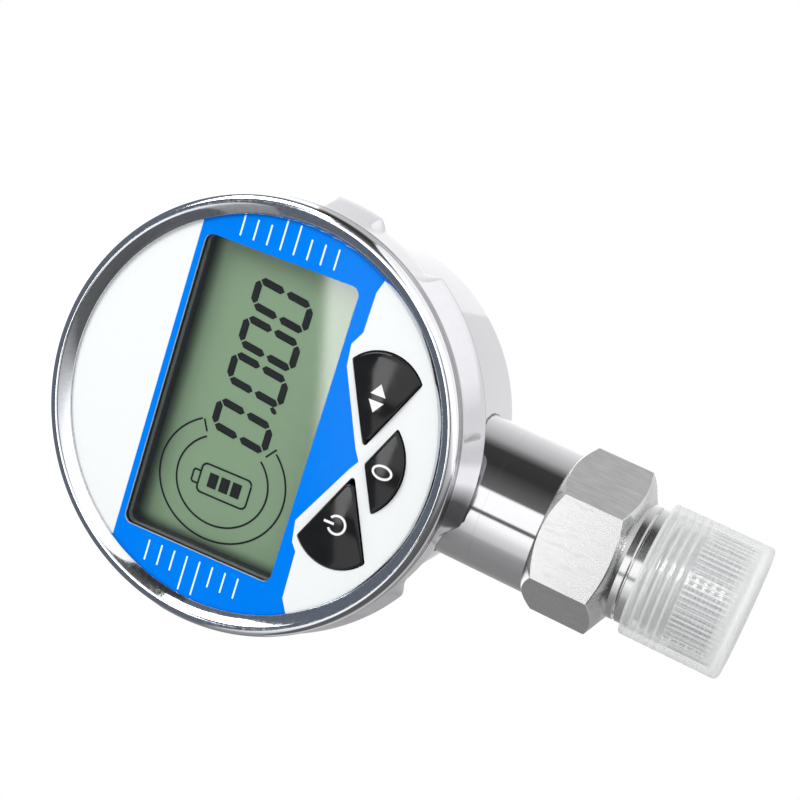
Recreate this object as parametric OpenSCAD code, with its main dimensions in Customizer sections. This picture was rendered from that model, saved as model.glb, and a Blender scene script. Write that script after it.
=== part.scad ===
// Digital pressure gauge with a bayonet bezel, a membrane face and a male thread below.
// It stands as it is installed: +Z up, the thread pointing down, the face towards -Y.
// The origin is the centre of the pressure port's mouth, on the end face of the thread.

/* [Bezel ring] */
// Outer radius of the raised stretches of the skirt
skirt_r = 40.1; // [34:0.1:46]
// How far the raised stretches stand out from the rim
skirt_rise = 1.7; // [1.4:0.1:2]
// Width of the rim in front of the face
rim_w = 3.8; // [3.6:0.1:4]
// How far the bead stands in front of the face
bead_rise = 2; // [1.6:0.1:2.4]
// Radius of the rounded bead
bead_r = 1.5; // [1.2:0.1:1.8]
// Sheet thickness of the skirt
skirt_wall = 0.9; // [0.7:0.1:1]
// Angle of the two narrow notches in the skirt
narrow_notch = 17; // [14:0.5:20]
// Angle of the two wide notches
wide_notch = 22.5; // [20:0.5:25]
// Direction of a narrow notch, from the stem towards +X
narrow_notch_at = -17.5; // [-20:0.5:-15]
// Direction of a wide notch, from the stem towards +X
wide_notch_at = 67.3; // [64:0.1:72]
// Turn that brings the bayonet lugs to their slots
open_turn = 22.5; // [20:0.5:25]
// How far the lugs reach in from the skirt
lug_reach = 1.2; // [1:0.1:1.3]
// Thickness of the lugs
lug_t = 1.3; // [1:0.1:1.6]

/* [Case] */
// Depth of the case behind the front of the face
case_depth = 36.2; // [36:0.1:42]
// How much smaller the cup is than the raised stretches
cup_inset = 6.1; // [5.6:0.1:6.6]
// How far the cup sits towards the stem, as a share of its radius
cup_off_centre = 0.1029; // [0.09:0.0001:0.106]
// Wall of the cup
cup_wall = 2; // [1.5:0.1:2.2]
// Rounding of the cup's back edge
cup_round = 1.6; // [1:0.1:2.5]
// Thickness of the cup's back
back_t = 2.5; // [2:0.1:3]
// Thickness of the flange that the bezel grips
flange_t = 3.5; // [3:0.1:4]

/* [Stem] */
// Length of the neck between the cup and the seam
neck_l = 4.7; // [3:0.1:8]
// Length of the stem tube between the seam and the hexagon
tube_l = 10.4; // [8:0.1:16]
// How much smaller the stem's radius is than half the hexagon's width
stem_step = 0.2; // [0.2:0.1:0.6]
// How much smaller the spigot's radius is than the stem's
spigot_step = 3.1; // [2.8:0.1:3.4]
// Wall of the spigot on the stem tube
spigot_wall = 2.3; // [1.9:0.1:2.3]
// Length of the spigot on the stem tube
spigot_l = 6; // [5:0.1:7]
// Section radius of the stem's O-ring
stem_seal_r = 0.6; // [0.5:0.05:0.7]

/* [Pressure fitting] */
// Width across the hexagon's flats
hex_af = 27; // [24:0.1:32]
// Turn of the hexagon about the stem
hex_turn = 5; // [0:0.5:59]
// Length of the hexagon
hex_l = 14.6; // [12:0.1:17]
// Angle of the cone at the hexagon's lower end, which runs down to the collar
hex_low_angle = 27; // [20:1:35]
// Angle of the chamfer at the hexagon's upper end
hex_high_angle = 38; // [20:1:40]
// Length of the collar below the hexagon
collar_l = 4.3; // [4:0.1:6]
// How much larger the collar's radius is than the thread's
collar_step = 0.7; // [0.5:0.1:1]
// Major radius of the thread
thread_r = 10; // [9:0.05:11]
// Length of the thread
thread_l = 14; // [12:0.1:18]
// Height of the relief between the thread and the collar
relief_h = 1; // [0.8:0.1:1.5]
// Depth of the relief and of the groove in the collar
relief_step = 0.9; // [0.7:0.1:1.1]
// Chamfer at the thread's end
thread_chamfer = 1.2; // [0.8:0.1:1.5]
// Radius of the pressure port
port_r = 2; // [1.5:0.1:3]

/* [Sensor] */
// Wall of the socket that the sensing cell sits in
socket_wall = 2.5; // [2.3:0.1:3]
// Height of the sensing cell's body
cell_h = 7.5; // [6:0.1:8]
// Section radius of the sensor's O-ring
sensor_seal_r = 0.9; // [0.8:0.05:1]
// Height of the sensor's ring nut
retainer_h = 3; // [2:0.1:3.5]
// Width of the ring nut
retainer_w = 3; // [2.6:0.1:3.4]
// Radius of the sensor's lead
lead_r = 1.2; // [1:0.1:1.5]
// Radius of the lead's bend
lead_bend_r = 6; // [5:0.5:7]

/* [Thread cap] */
// Clearance between the cap and the collar
cap_grip = 0.2; // [0.1:0.05:0.3]
// How far the cap reaches over the collar
cap_cover = 1; // [0.6:0.1:1.4]
// Wall of the cap
cap_wall = 1.35; // [1:0.05:1.6]
// Thickness of the cap's end
cap_end_t = 2; // [1.5:0.1:2.5]
// Rounding of the cap's end
cap_round = 0.9; // [0.5:0.1:1.2]

/* [Face, as shares of its radius] */
// Width of the display window
window_wide = 1.5607; // [1.5:0.001:1.56]
// Height of the display window
window_high = 0.8613; // [0.82:0.001:0.88]
// How far the window sits right of the face's centre
window_right = 0.0188; // [0:0.0001:0.02]
// How far the window sits above the face's centre
window_above = 0.0636; // [0.06:0.0001:0.07]
// Rounding of the window's corners
window_rounding = 0.0462; // [0.03:0.0001:0.06]
// How far the point where the keys meet lies below the face's centre
key_cross_below = 0.6214; // [0.615:0.0001:0.625]
// Radius of the arc at the outer end of a side key
side_key_arc = 0.237; // [0.23:0.0001:0.243]
// Distance from the cross to the centre of that arc
side_key_reach = 0.3266; // [0.318:0.0001:0.332]
// Radius of the arc below the lower key
low_key_arc = 0.3006; // [0.295:0.0001:0.304]
// How far the centre of that arc lies above the cross
low_key_above = 0.0578; // [0.055:0.0001:0.064]
// Width of the white strips between the keys
key_strip_wide = 0.0578; // [0.046:0.0001:0.069]

/* [Face and keys] */
// How far the face sits turned in the case, anticlockwise
face_turn = 3.3; // [0:0.1:5]
// Thickness of the printed film
film_t = 0.4; // [0.3:0.05:0.5]
// Thickness of the plate behind the film
plate_t = 2.2; // [2:0.1:2.4]
// How far the film and the plate stay inside the rim
plate_inset = 2; // [1.8:0.1:2.2]
// Height of the key caps over the film
key_rise = 0.9; // [0.6:0.1:1.2]
// Travel of a key
key_travel = 0.4; // [0.2:0.05:0.45]
// Half the angle that a side key spans at the cross
side_key_angle = 25.5; // [25:0.5:27]
// Running clearance round each key
key_gap = 0.25; // [0.2:0.05:0.3]

/* [Display and board] */
// Depth of the display glass behind the plate
glass_behind = 2.4; // [2:0.1:2.8]
// Thickness of the display glass
glass_t = 1.2; // [1:0.1:1.3]
// Thickness of the light panel
light_t = 1.2; // [1:0.1:1.4]
// Room between the light panel and the circuit board
board_room = 1.5; // [1.5:0.1:2]
// Thickness of the circuit board
board_t = 1.6; // [1.2:0.1:1.8]
// Gap between the circuit board and the inside of the cup
board_inset = 1.4; // [1.2:0.1:1.8]
// Radius of a standoff
standoff_r = 2; // [1.8:0.1:2.2]
// Radius of a screw's shank
screw_r = 1; // [0.8:0.1:1.1]

/* [Batteries, as shares of the cup's inner radius] */
// Radius of a battery cell
battery_round = 0.1625; // [0.15:0.0005:0.164]
// Length of a battery cell
battery_long = 1.3906; // [1.36:0.0005:1.391]
// Distance between the two cells' axes
battery_apart = 0.3563; // [0.35:0.0001:0.362]

/* [Hidden] */
$fn = 96;

// One overrun serves every cut
over = 1;
// Gap left between pieces that only lie beside each other
gap = 0.3;
// Gap of a piece that is fitted by hand
fit = 0.1;
// Angles that several modules share
down = 90;
half_turn = 180;
full_turn = 360;
notch_count = 4;

// Radii of the front, from the skirt inwards
bezel_r = skirt_r - skirt_rise;
face_r = bezel_r - rim_w;
plate_r = bezel_r - plate_inset;
cavity_inset = 0.2;
front_cavity_r = face_r - cavity_inset;
ring_inner_r = bezel_r - skirt_wall;
flange_r = ring_inner_r - gap;
// Groove behind the flange, which the lugs turn in
groove_r = ring_inner_r - lug_reach - gap - fit;
cup_r = skirt_r - cup_inset;
cup_shift = cup_off_centre * cup_r;
cup_inner_r = cup_r - cup_wall;

// Depths are measured from the front of the film, into the case
plate_back = film_t + plate_t;
gasket_t = 0.8;
flange_front = plate_back + gasket_t;
flange_back = flange_front + flange_t;
lug_depth = flange_back + gap;
lug_cover = 0.4;
skirt_depth = lug_depth + lug_t + lug_cover;
cup_start = skirt_depth + 2 * fit;
cup_floor_t = 1.5;
back_inside = case_depth - back_t;

// Bezel
bead_ring_r = bezel_r - bead_r;
bead_depth = bead_r - bead_rise;
lip_gap = 0.1;
lip_edge = 0.6;
lip_lean = 25;
wall_middle_r = bezel_r - skirt_wall / 2;
bezel_gasket_t = 0.4;
bezel_gasket_w = 1.4;
bezel_gasket_out = plate_r + gap;
bezel_gasket_in = bezel_gasket_out - bezel_gasket_w;
// The raised stretches lean out as cones that start inside the rim's wall
skirt_root = bead_depth + fit;
skirt_slope = (skirt_r - wall_middle_r) / (skirt_depth - skirt_root);
skirt_inner_root = skirt_root + skirt_wall / skirt_slope;
skirt_cut = skirt_inner_root + skirt_wall;
skirt_end_low = skirt_cut - skirt_wall / 3;
skirt_end_angle = 1.2;
skirt_end_inset = 0.2;
lug_angle = 13;
slot_angle = 17;

// Radii of the stem and the fitting
hex_corner_r = hex_af / 2 / cos(30);
hex_face_r = hex_af / 2 - fit;
stem_r = hex_af / 2 - stem_step;
spigot_r = stem_r - spigot_step;
tube_bore_r = spigot_r - spigot_wall;
neck_step = 1.7;
neck_bore_r = spigot_r - neck_step;
seal_ring_r = spigot_r - stem_seal_r;
counterbore_r = spigot_r + fit;
socket_r = spigot_r - socket_wall;
cell_r = socket_r - 2 * fit;
relief_r = thread_r - relief_step;
collar_r = thread_r + collar_step;
collar_groove_r = collar_r - relief_step;
hex_shoulder_r = collar_r + cap_grip;
cap_inner_r = collar_r + cap_grip;
cap_r = cap_inner_r + cap_wall;

// Heights, from the end of the thread upwards
collar_low = thread_l + relief_h;
cap_mouth = collar_low + cap_cover;
groove_h = 0.4;
groove_up = 3;
groove_top = collar_low + groove_up;
hex_low = collar_low + collar_l;
hex_high = hex_low + hex_l;
seam_h = hex_high + tube_l;
dial_h = seam_h + neck_l + cup_r + cup_shift;
// The stem's front lies just behind the start of the cup
axis_setback = cup_start + fit + stem_r;

// Sensor stack
fitting_spigot_h = 3;
socket_up = 1.7;
socket_floor = hex_low + socket_up;
nose_h = 2 * sensor_seal_r;
nose_r = cell_r - 2 * sensor_seal_r;
cell_low = socket_floor + nose_h;
cell_high = cell_low + cell_h;
retainer_high = cell_high + retainer_h;
retainer_hole_r = cell_r - retainer_w;
pin_r = 0.35;
pin_ring_r = retainer_hole_r * 0.58;
pin_count = 4;
sensor_board_inset = 0.5;
sensor_board_r = cell_r - sensor_board_inset;
sensor_board_low = retainer_high + fitting_spigot_h / 2;
sensor_board_t = 1.2;
lead_start = sensor_board_low + sensor_board_t;

// Face and keys
window_w = window_wide * face_r;
window_h = window_high * face_r;
window_x = window_right * face_r;
window_up = window_above * face_r;
window_round = window_rounding * face_r;
key_cross_down = key_cross_below * face_r;
side_key_r = side_key_arc * face_r;
side_key_out = side_key_reach * face_r;
low_key_r = low_key_arc * face_r;
low_key_up = low_key_above * face_r;
key_strip = key_strip_wide * face_r;

// Display stack and board
glass_share = 0.01445;
frame_share = 0.0289;
glass_margin = glass_share * face_r;
frame_wall = frame_share * face_r;
glass_depth = plate_back + glass_behind;
light_depth = glass_depth + glass_t;
frame_back = light_depth + light_t;
board_depth = frame_back + board_room;
board_back = board_depth + board_t;
board_r = cup_inner_r - board_inset;

// Battery holder, on the back of the board
battery_r = battery_round * cup_inner_r;
battery_l = battery_long * cup_inner_r;
battery_pitch = battery_apart * cup_inner_r;
battery_x = 0;
battery_above = 0.1281;
battery_down = cup_shift - battery_above * cup_inner_r;
holder_t = 1.2;
contact_room = 2.4;
holder_l = battery_l + 2 * contact_room + 2 * holder_t;
holder_w = battery_pitch + 2 * battery_r + 2 * holder_t + 2 * fit;
holder_side_h = battery_r;
battery_depth = board_back + holder_t + fit + battery_r;
contact_t = 0.4;
contact_pad_r = 3.4;
spring_wire_r = 0.3;
spring_r = 2.6;
spring_turns = 3;

// Display
glass_w = window_w + 2 * glass_margin;
glass_h = window_h + 2 * glass_margin;
frame_w = glass_w + 2 * frame_wall;
frame_h = glass_h + 2 * frame_wall;
lens_t = 1;
lens_ledge = 0.7;
strip_t = 1.2;
strip_room = 0.4;
strip_share = 0.727;
strip_l = strip_share * glass_w;
strip_out = (glass_h - strip_t - strip_room) / 2;

// Keys and their switches
key_flange_t = 0.8;
key_flange_w = 0.6;
switch_w = 4.5;
switch_h = 1.4;
switch_button_r = 1.2;
switch_button_h = 0.4;
plunger_r = 1.6;
switch_top = board_depth - switch_h - switch_button_h;
key_dome_r = 60;
side_key_middle = side_key_out - side_key_r / 4;
low_key_middle = low_key_r / 2;

// Board fixings, right of and below the face's centre, as shares of the board's radius
standoff_low = [0.771, 0.627] * board_r;
standoff_high = [0.379, -0.725] * board_r;
screw_head_r = 1.9;
screw_head_h = 1.3;
screw_l = 5;

// Parts on the back of the board: centre right, centre down, width, height, as shares of its radius
main_chip = [-0.457, 0.572, 0.294, 0.294] * board_r;
converter_chip = [0.425, 0.575, 0.212, 0.255] * board_r;
crystal = [-0.17, 0.497, 0.105, 0.15] * board_r;
connector = [0, 0.667, 0.294, 0.163] * board_r;
small_part = [0.055, 0.033] * board_r;
small_part_start = [-0.229, 0.817] * board_r;
small_part_row = 5;
small_part_step = 0.085 * board_r;
chip_t = 1.4;
converter_t = 1.6;
crystal_t = 1.1;
connector_t = 4;
small_part_t = 0.8;

// Local frame of the case: x right, y down towards the stem, z into the case from the film's front
module in_case() {
    translate([0, -axis_setback, dial_h]) rotate([-90, 0, 0]) children();
}

// The same frame turned with the face
module on_face() {
    in_case() rotate([0, 0, -face_turn]) children();
}

module ring(outer, inner, low, high) {
    translate([0, 0, low])
    difference() {
        cylinder(r = outer, h = high - low);
        translate([0, 0, -over]) cylinder(r = inner, h = high - low + 2 * over);
    }
}

module rounded_plate(w, h, r, low, high) {
    translate([0, 0, low])
    union() {
        translate([-w / 2 + r, -h / 2, 0]) cube([w - 2 * r, h, high - low]);
        translate([-w / 2, -h / 2 + r, 0]) cube([w, h - 2 * r, high - low]);
        for (x = [-1, 1], y = [-1, 1])
            translate([x * (w / 2 - r), y * (h / 2 - r), 0]) cylinder(r = r, h = high - low);
    }
}

// A sector of a solid ring between two depths, centred on an angle
module ring_sector(outer, inner, low, high, middle, angle) {
    rotate([0, 0, middle - angle / 2])
    rotate_extrude(angle = angle)
    translate([inner, low]) square([outer - inner, high - low]);
}

// Wide and narrow notches take turns, so the ring goes on in two positions only
function is_wide(i) = i % 2 == 0;
function notch_width(i) = is_wide(i) ? wide_notch : narrow_notch;
function notch_direction(i) =
    down - (is_wide(i) ? wide_notch_at : narrow_notch_at) + half_turn * floor(i / 2);
function stretch_low(i) = notch_direction(i) + notch_width(i) / 2;
function stretch_high(i) = notch_direction(i + 1) - notch_width(i + 1) / 2;
function stretch_angle(i) = stretch_high(i) - stretch_low(i);
function stretch_direction(i) = (stretch_low(i) + stretch_high(i)) / 2;
function skirt_at(depth) = wall_middle_r + (depth - skirt_root) * skirt_slope;

// Case

module cup_profile() {
    square([cup_r, case_depth - cup_start - cup_round]);
    square([cup_r - cup_round, case_depth - cup_start]);
    translate([cup_r - cup_round, case_depth - cup_start - cup_round]) circle(r = cup_round);
}

module case_body() {
    color("silver")
    difference() {
        union() {
            in_case() {
                translate([0, 0, flange_front]) cylinder(r = flange_r, h = flange_t);
                translate([0, 0, flange_back - over])
                    cylinder(r = groove_r, h = cup_start - flange_back + over);
                translate([0, cup_shift, cup_start]) rotate_extrude() cup_profile();
            }
            translate([0, 0, seam_h]) cylinder(r = stem_r, h = dial_h - seam_h - cup_r / 2);
        }
        in_case() {
            translate([0, 0, flange_front - over])
                cylinder(r = front_cavity_r, h = cup_start - cup_floor_t - flange_front + over);
            translate([0, cup_shift, cup_start]) cylinder(r = cup_inner_r, h = back_inside - cup_start);
            intersection() {
                cylinder(r = front_cavity_r, h = cup_start + over);
                translate([0, cup_shift, flange_front])
                    cylinder(r = cup_inner_r, h = back_inside - flange_front);
            }
            for (i = [0:notch_count - 1])
                ring_sector(flange_r + over, groove_r + fit, flange_front - over, flange_back + fit,
                    notch_direction(i) - open_turn, slot_angle);
        }
        translate([0, 0, seam_h - over]) cylinder(r = neck_bore_r, h = dial_h - seam_h);
        translate([0, 0, seam_h - over]) cylinder(r = counterbore_r, h = spigot_l + gap + over);
    }
}

module case_gasket() {
    color("dimgray")
    in_case() ring(plate_r, front_cavity_r + fit, plate_back, flange_front);
}

// Bezel

module bezel_lip() {
    meet = bead_r - fit / 4;
    difference() {
        union() {
            translate([bead_ring_r, bead_depth]) circle(r = bead_r);
            polygon([[face_r, skirt_depth], [face_r, -lip_edge],
                [bead_ring_r - meet * sin(lip_lean), bead_depth - meet * cos(lip_lean)],
                [bead_ring_r, bead_depth], [bezel_r, bead_depth], [bezel_r, skirt_depth]]);
        }
        translate([0, -lip_gap]) square([ring_inner_r, skirt_depth + over]);
    }
}

// Profile of a raised stretch, which starts inside the ring's wall
module skirt_shell() {
    polygon([[wall_middle_r, skirt_root], [skirt_r, skirt_depth], [skirt_r - skirt_wall, skirt_depth],
        [wall_middle_r, skirt_inner_root]]);
}

// Profile of the wall that closes a raised stretch at each end
module skirt_end_wall() {
    polygon([[ring_inner_r + skirt_wall / 3, skirt_end_low],
        [skirt_at(skirt_end_low) - skirt_wall / 2, skirt_end_low],
        [skirt_r - skirt_wall / 2, skirt_depth - skirt_end_inset],
        [ring_inner_r + skirt_wall / 3, skirt_depth - skirt_end_inset]]);
}

module raised_stretch(low, high) {
    rotate([0, 0, low]) rotate_extrude(angle = high - low) skirt_shell();
    for (start = [low + skirt_end_angle / 2, high - skirt_end_angle * 3 / 2])
        rotate([0, 0, start]) rotate_extrude(angle = skirt_end_angle) skirt_end_wall();
}

module bezel_ring() {
    color("gainsboro")
    in_case() {
        difference() {
            rotate_extrude() bezel_lip();
            ring(bezel_gasket_out, bezel_gasket_in, -bezel_gasket_t, over - bezel_gasket_t);
            for (i = [0:notch_count - 1])
                ring_sector(bezel_r + over, ring_inner_r - over, skirt_cut, skirt_depth + over,
                    stretch_direction(i), stretch_angle(i) - 4 * skirt_end_angle);
        }
        for (i = [0:notch_count - 1]) {
            raised_stretch(stretch_low(i), stretch_high(i));
            ring_sector(wall_middle_r, ring_inner_r - lug_reach, lug_depth, lug_depth + lug_t,
                notch_direction(i), lug_angle);
        }
    }
}

module bezel_gasket() {
    color("black")
    in_case() ring(bezel_gasket_out, bezel_gasket_in, -bezel_gasket_t, 0);
}

// Face

module window_hole(grow, low, high) {
    translate([window_x, -window_up, 0])
        rounded_plate(window_w + 2 * grow, window_h + 2 * grow, window_round, low, high);
}

// Outline of a side key: a wedge from the cross, ended by an arc
module side_key_shape(side, shrink) {
    reach = side_key_out + side_key_r + over;
    edge = key_strip / 2 + shrink;
    start = edge / sin(side_key_angle);
    intersection() {
        union() {
            translate([side * side_key_out, key_cross_down]) circle(r = side_key_r - shrink);
            translate([(side - 1) * side_key_out / 2, key_cross_down - side_key_r * 3 / 4])
                square([side_key_out, side_key_r * 3 / 2]);
        }
        polygon([[side * start, key_cross_down],
            [side * reach, key_cross_down - (reach - start) * tan(side_key_angle)],
            [side * reach, key_cross_down + (reach - start) * tan(side_key_angle)]]);
    }
}

// Outline of the lower key: the space below the two side keys, ended by an arc
module low_key_shape(shrink) {
    reach = low_key_r + low_key_up + over;
    start = (key_strip / 2 + shrink) / cos(side_key_angle);
    intersection() {
        translate([0, key_cross_down - low_key_up]) circle(r = low_key_r - shrink);
        polygon([[0, key_cross_down + start],
            [-reach, key_cross_down + start + reach * tan(side_key_angle)],
            [-reach, key_cross_down + 2 * reach], [reach, key_cross_down + 2 * reach],
            [reach, key_cross_down + start + reach * tan(side_key_angle)]]);
    }
}

module key_holes(low, high, grow) {
    for (side = [-1, 1])
        translate([0, 0, low]) linear_extrude(height = high - low) side_key_shape(side, -grow);
    translate([0, 0, low]) linear_extrude(height = high - low) low_key_shape(-grow);
}

module face_overlay() {
    color("white")
    on_face()
    difference() {
        cylinder(r = plate_r, h = film_t);
        window_hole(0, -over, film_t + over);
        key_holes(-over, film_t + over, 0);
    }
}

module face_plate() {
    color("dimgray")
    on_face()
    difference() {
        translate([0, 0, film_t]) cylinder(r = plate_r, h = plate_t);
        window_hole(0, -over, plate_back + over);
        window_hole(lens_ledge, film_t - over, film_t + lens_t + fit / 2);
        key_holes(-over, plate_back + over, 0);
    }
}

module window_lens() {
    color("lightcyan", 0.3)
    on_face() {
        window_hole(lens_ledge - fit / 2, film_t, film_t + lens_t);
        window_hole(-fit / 2, 0, film_t + lens_t / 2);
    }
}

// Keys

module key_cap(middle) {
    on_face() {
        intersection() {
            translate([0, 0, -key_rise]) linear_extrude(height = key_rise + plate_back + gap) children(0);
            translate([middle[0], middle[1], key_dome_r - key_rise]) sphere(r = key_dome_r, $fn = 128);
        }
        translate([0, 0, plate_back + gap]) linear_extrude(height = key_flange_t) children(1);
        translate([middle[0], middle[1], plate_back + gap])
            cylinder(r = plunger_r, h = switch_top - plate_back - gap - key_travel - fit);
    }
}

module unit_key() {
    color("black")
    key_cap([side_key_middle, key_cross_down]) {
        side_key_shape(1, key_gap);
        side_key_shape(1, key_gap - key_flange_w);
    }
}

module power_key() {
    color("black")
    key_cap([-side_key_middle, key_cross_down]) {
        side_key_shape(-1, key_gap);
        side_key_shape(-1, key_gap - key_flange_w);
    }
}

module zero_key() {
    color("black")
    key_cap([0, key_cross_down + low_key_middle]) {
        low_key_shape(key_gap);
        low_key_shape(key_gap - key_flange_w);
    }
}

module tact_switches() {
    color("darkgray")
    on_face()
    for (at = [[side_key_middle, key_cross_down], [-side_key_middle, key_cross_down],
            [0, key_cross_down + low_key_middle]])
        translate([at[0], at[1], switch_top]) {
            cylinder(r = switch_button_r, h = switch_button_h);
            translate([-switch_w / 2, -switch_w / 2, switch_button_h]) cube([switch_w, switch_w, switch_h]);
        }
}

// Display

module display_frame() {
    color("black")
    on_face()
    intersection() {
        difference() {
            translate([window_x, -window_up, 0])
                rounded_plate(frame_w, frame_h, window_round, plate_back, frame_back);
            window_hole(0, plate_back - over, frame_back + over);
            window_hole(glass_margin + fit / 2, glass_depth, frame_back + over);
        }
        cylinder(r = front_cavity_r - gap, h = frame_back + over);
    }
}

module lcd_panel() {
    color("darkseagreen") on_face() window_hole(glass_margin, glass_depth, light_depth);
}

module lcd_backlight() {
    color("white")
    on_face()
    translate([window_x, -window_up, 0])
        rounded_plate(glass_w, glass_h - 2 * (strip_t + strip_room), window_round, light_depth, frame_back);
}

// The strips stand above and below the light panel, between the glass and the board
module contact_strips() {
    color("gray")
    on_face()
    for (side = [-1, 1])
        translate([window_x - strip_l / 2, side * strip_out - window_up - strip_t / 2, light_depth])
            cube([strip_l, strip_t, board_depth - light_depth]);
}

// Circuit board and what it carries

function standoff_places() = [[standoff_low[0], standoff_low[1]], [-standoff_low[0], standoff_low[1]],
    [standoff_high[0], standoff_high[1]], [-standoff_high[0], standoff_high[1]]];

module circuit_board() {
    color("darkgreen")
    difference() {
        in_case() translate([0, cup_shift, board_depth]) cylinder(r = board_r, h = board_t);
        on_face()
        for (at = standoff_places())
            translate([at[0], at[1], board_depth - over]) cylinder(r = screw_r + fit, h = board_t + 2 * over);
    }
}

module board_standoffs() {
    color("goldenrod")
    on_face()
    for (at = standoff_places())
        translate([at[0], at[1], 0])
        difference() {
            translate([0, 0, plate_back]) cylinder(r = standoff_r, h = board_depth - plate_back);
            translate([0, 0, board_back - screw_l - gap]) cylinder(r = screw_r, h = screw_l + gap);
        }
}

module board_screws() {
    color("silver")
    on_face()
    for (at = standoff_places())
        translate([at[0], at[1], 0]) {
            translate([0, 0, board_back - screw_l]) cylinder(r = screw_r, h = screw_l);
            translate([0, 0, board_back]) cylinder(r = screw_head_r, h = screw_head_h);
        }
}

module board_block(size, thickness) {
    translate([size[0] - size[2] / 2, size[1] - size[3] / 2, board_back]) cube([size[2], size[3], thickness]);
}

module board_chips() {
    color("black")
    on_face() {
        board_block(main_chip, chip_t);
        board_block(converter_chip, converter_t);
        board_block(crystal, crystal_t);
        for (i = [0:small_part_row - 1])
            translate([small_part_start[0] + i * small_part_step, small_part_start[1], board_back])
                cube([small_part[0], small_part[1], small_part_t]);
    }
}

module lead_connector() {
    color("ivory")
    in_case() board_block(connector, connector_t);
}

// Batteries

module battery_holder() {
    color("black")
    in_case()
    translate([battery_x, battery_down, board_back])
    difference() {
        translate([-holder_l / 2, -holder_w / 2, 0]) cube([holder_l, holder_w, holder_t + holder_side_h]);
        translate([-holder_l / 2 + holder_t, -holder_w / 2 + holder_t, holder_t])
            cube([holder_l - 2 * holder_t, holder_w - 2 * holder_t, holder_side_h + over]);
    }
}

module battery_cells() {
    color("silver")
    in_case()
    for (side = [-1, 1])
        translate([battery_x - battery_l / 2, battery_down + side * battery_pitch / 2, battery_depth])
        rotate([0, 90, 0]) cylinder(r = battery_r, h = battery_l);
}

// The conical spring is stood in for by separate rings of wire
module contact_spring() {
    step = (contact_room - contact_t - 2 * spring_wire_r - fit) / spring_turns;
    for (i = [0:spring_turns - 1])
        translate([0, 0, spring_wire_r + i * step])
        rotate_extrude($fn = 48)
        translate([spring_r - 2 * i * spring_wire_r, 0]) circle(r = spring_wire_r, $fn = 16);
}

module battery_contacts() {
    color("gold")
    in_case()
    for (side = [-1, 1], end = [-1, 1])
        translate([battery_x + end * (holder_l / 2 - holder_t), battery_down + side * battery_pitch / 2,
                battery_depth])
        rotate([0, -end * 90, 0]) {
            cylinder(r = contact_pad_r, h = contact_t);
            translate([0, 0, contact_t])
            if (side * end > 0) contact_spring();
            else cylinder(r = contact_pad_r / 2, h = contact_room - contact_t - fit);
        }
}

// Stem

module stem_tube() {
    color("silver")
    difference() {
        union() {
            translate([0, 0, hex_high]) cylinder(r = stem_r, h = seam_h - hex_high);
            translate([0, 0, seam_h - over]) cylinder(r = spigot_r, h = spigot_l + over);
        }
        translate([0, 0, hex_high - over]) cylinder(r = tube_bore_r, h = seam_h + spigot_l);
        translate([0, 0, hex_high - over]) cylinder(r = counterbore_r, h = fitting_spigot_h + fit + over);
        ring(spigot_r + over, spigot_r - 2 * stem_seal_r, seam_h + spigot_l / 2 - stem_seal_r,
            seam_h + spigot_l / 2 + stem_seal_r);
    }
}

module stem_seal() {
    color("black")
    translate([0, 0, seam_h + spigot_l / 2])
    rotate_extrude() translate([seal_ring_r, 0]) circle(r = stem_seal_r - fit / 4, $fn = 24);
}

// A cone at each end takes the hexagon's corners off
module hexagon() {
    translate([0, 0, hex_low])
    intersection() {
        rotate([0, 0, hex_turn]) cylinder(r = hex_corner_r, h = hex_l, $fn = 6);
        cylinder(r1 = hex_shoulder_r, r2 = hex_shoulder_r + hex_l / tan(hex_low_angle), h = hex_l);
        cylinder(r1 = hex_face_r + hex_l / tan(hex_high_angle), r2 = hex_face_r, h = hex_l);
    }
}

module pressure_fitting() {
    color("lightgray")
    difference() {
        union() {
            hexagon();
            translate([0, 0, hex_high - over]) cylinder(r = spigot_r, h = fitting_spigot_h + over);
            translate([0, 0, collar_low]) cylinder(r = collar_r, h = hex_low - collar_low + over);
            cylinder(r1 = thread_r - thread_chamfer, r2 = thread_r, h = thread_chamfer);
            translate([0, 0, thread_chamfer]) cylinder(r = thread_r, h = thread_l - thread_chamfer);
            translate([0, 0, thread_l - over]) cylinder(r = relief_r, h = relief_h + 2 * over);
        }
        ring(collar_r + over, collar_groove_r, groove_top - groove_h, groove_top);
        translate([0, 0, socket_floor]) cylinder(r = socket_r, h = hex_high + fitting_spigot_h);
        translate([0, 0, -over]) cylinder(r = port_r, h = socket_floor + 2 * over);
    }
}

// Sensor

module sensor_cell() {
    color("silver") {
        translate([0, 0, socket_floor]) cylinder(r = nose_r, h = nose_h + over);
        translate([0, 0, cell_low]) cylinder(r = cell_r, h = cell_h);
    }
}

module sensor_seal() {
    color("black")
    translate([0, 0, socket_floor + sensor_seal_r])
    rotate_extrude() translate([cell_r - sensor_seal_r, 0]) circle(r = sensor_seal_r - fit / 4, $fn = 24);
}

module sensor_retainer() {
    color("gray")
    ring(cell_r, retainer_hole_r, cell_high, retainer_high);
}

module sensor_pins() {
    color("gold")
    for (i = [0:pin_count - 1])
        rotate([0, 0, i * full_turn / pin_count])
        translate([pin_ring_r, 0, cell_high]) cylinder(r = pin_r, h = sensor_board_low - cell_high, $fn = 24);
}

module sensor_board() {
    color("darkgreen")
    translate([0, 0, sensor_board_low]) cylinder(r = sensor_board_r, h = sensor_board_t);
}

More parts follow.
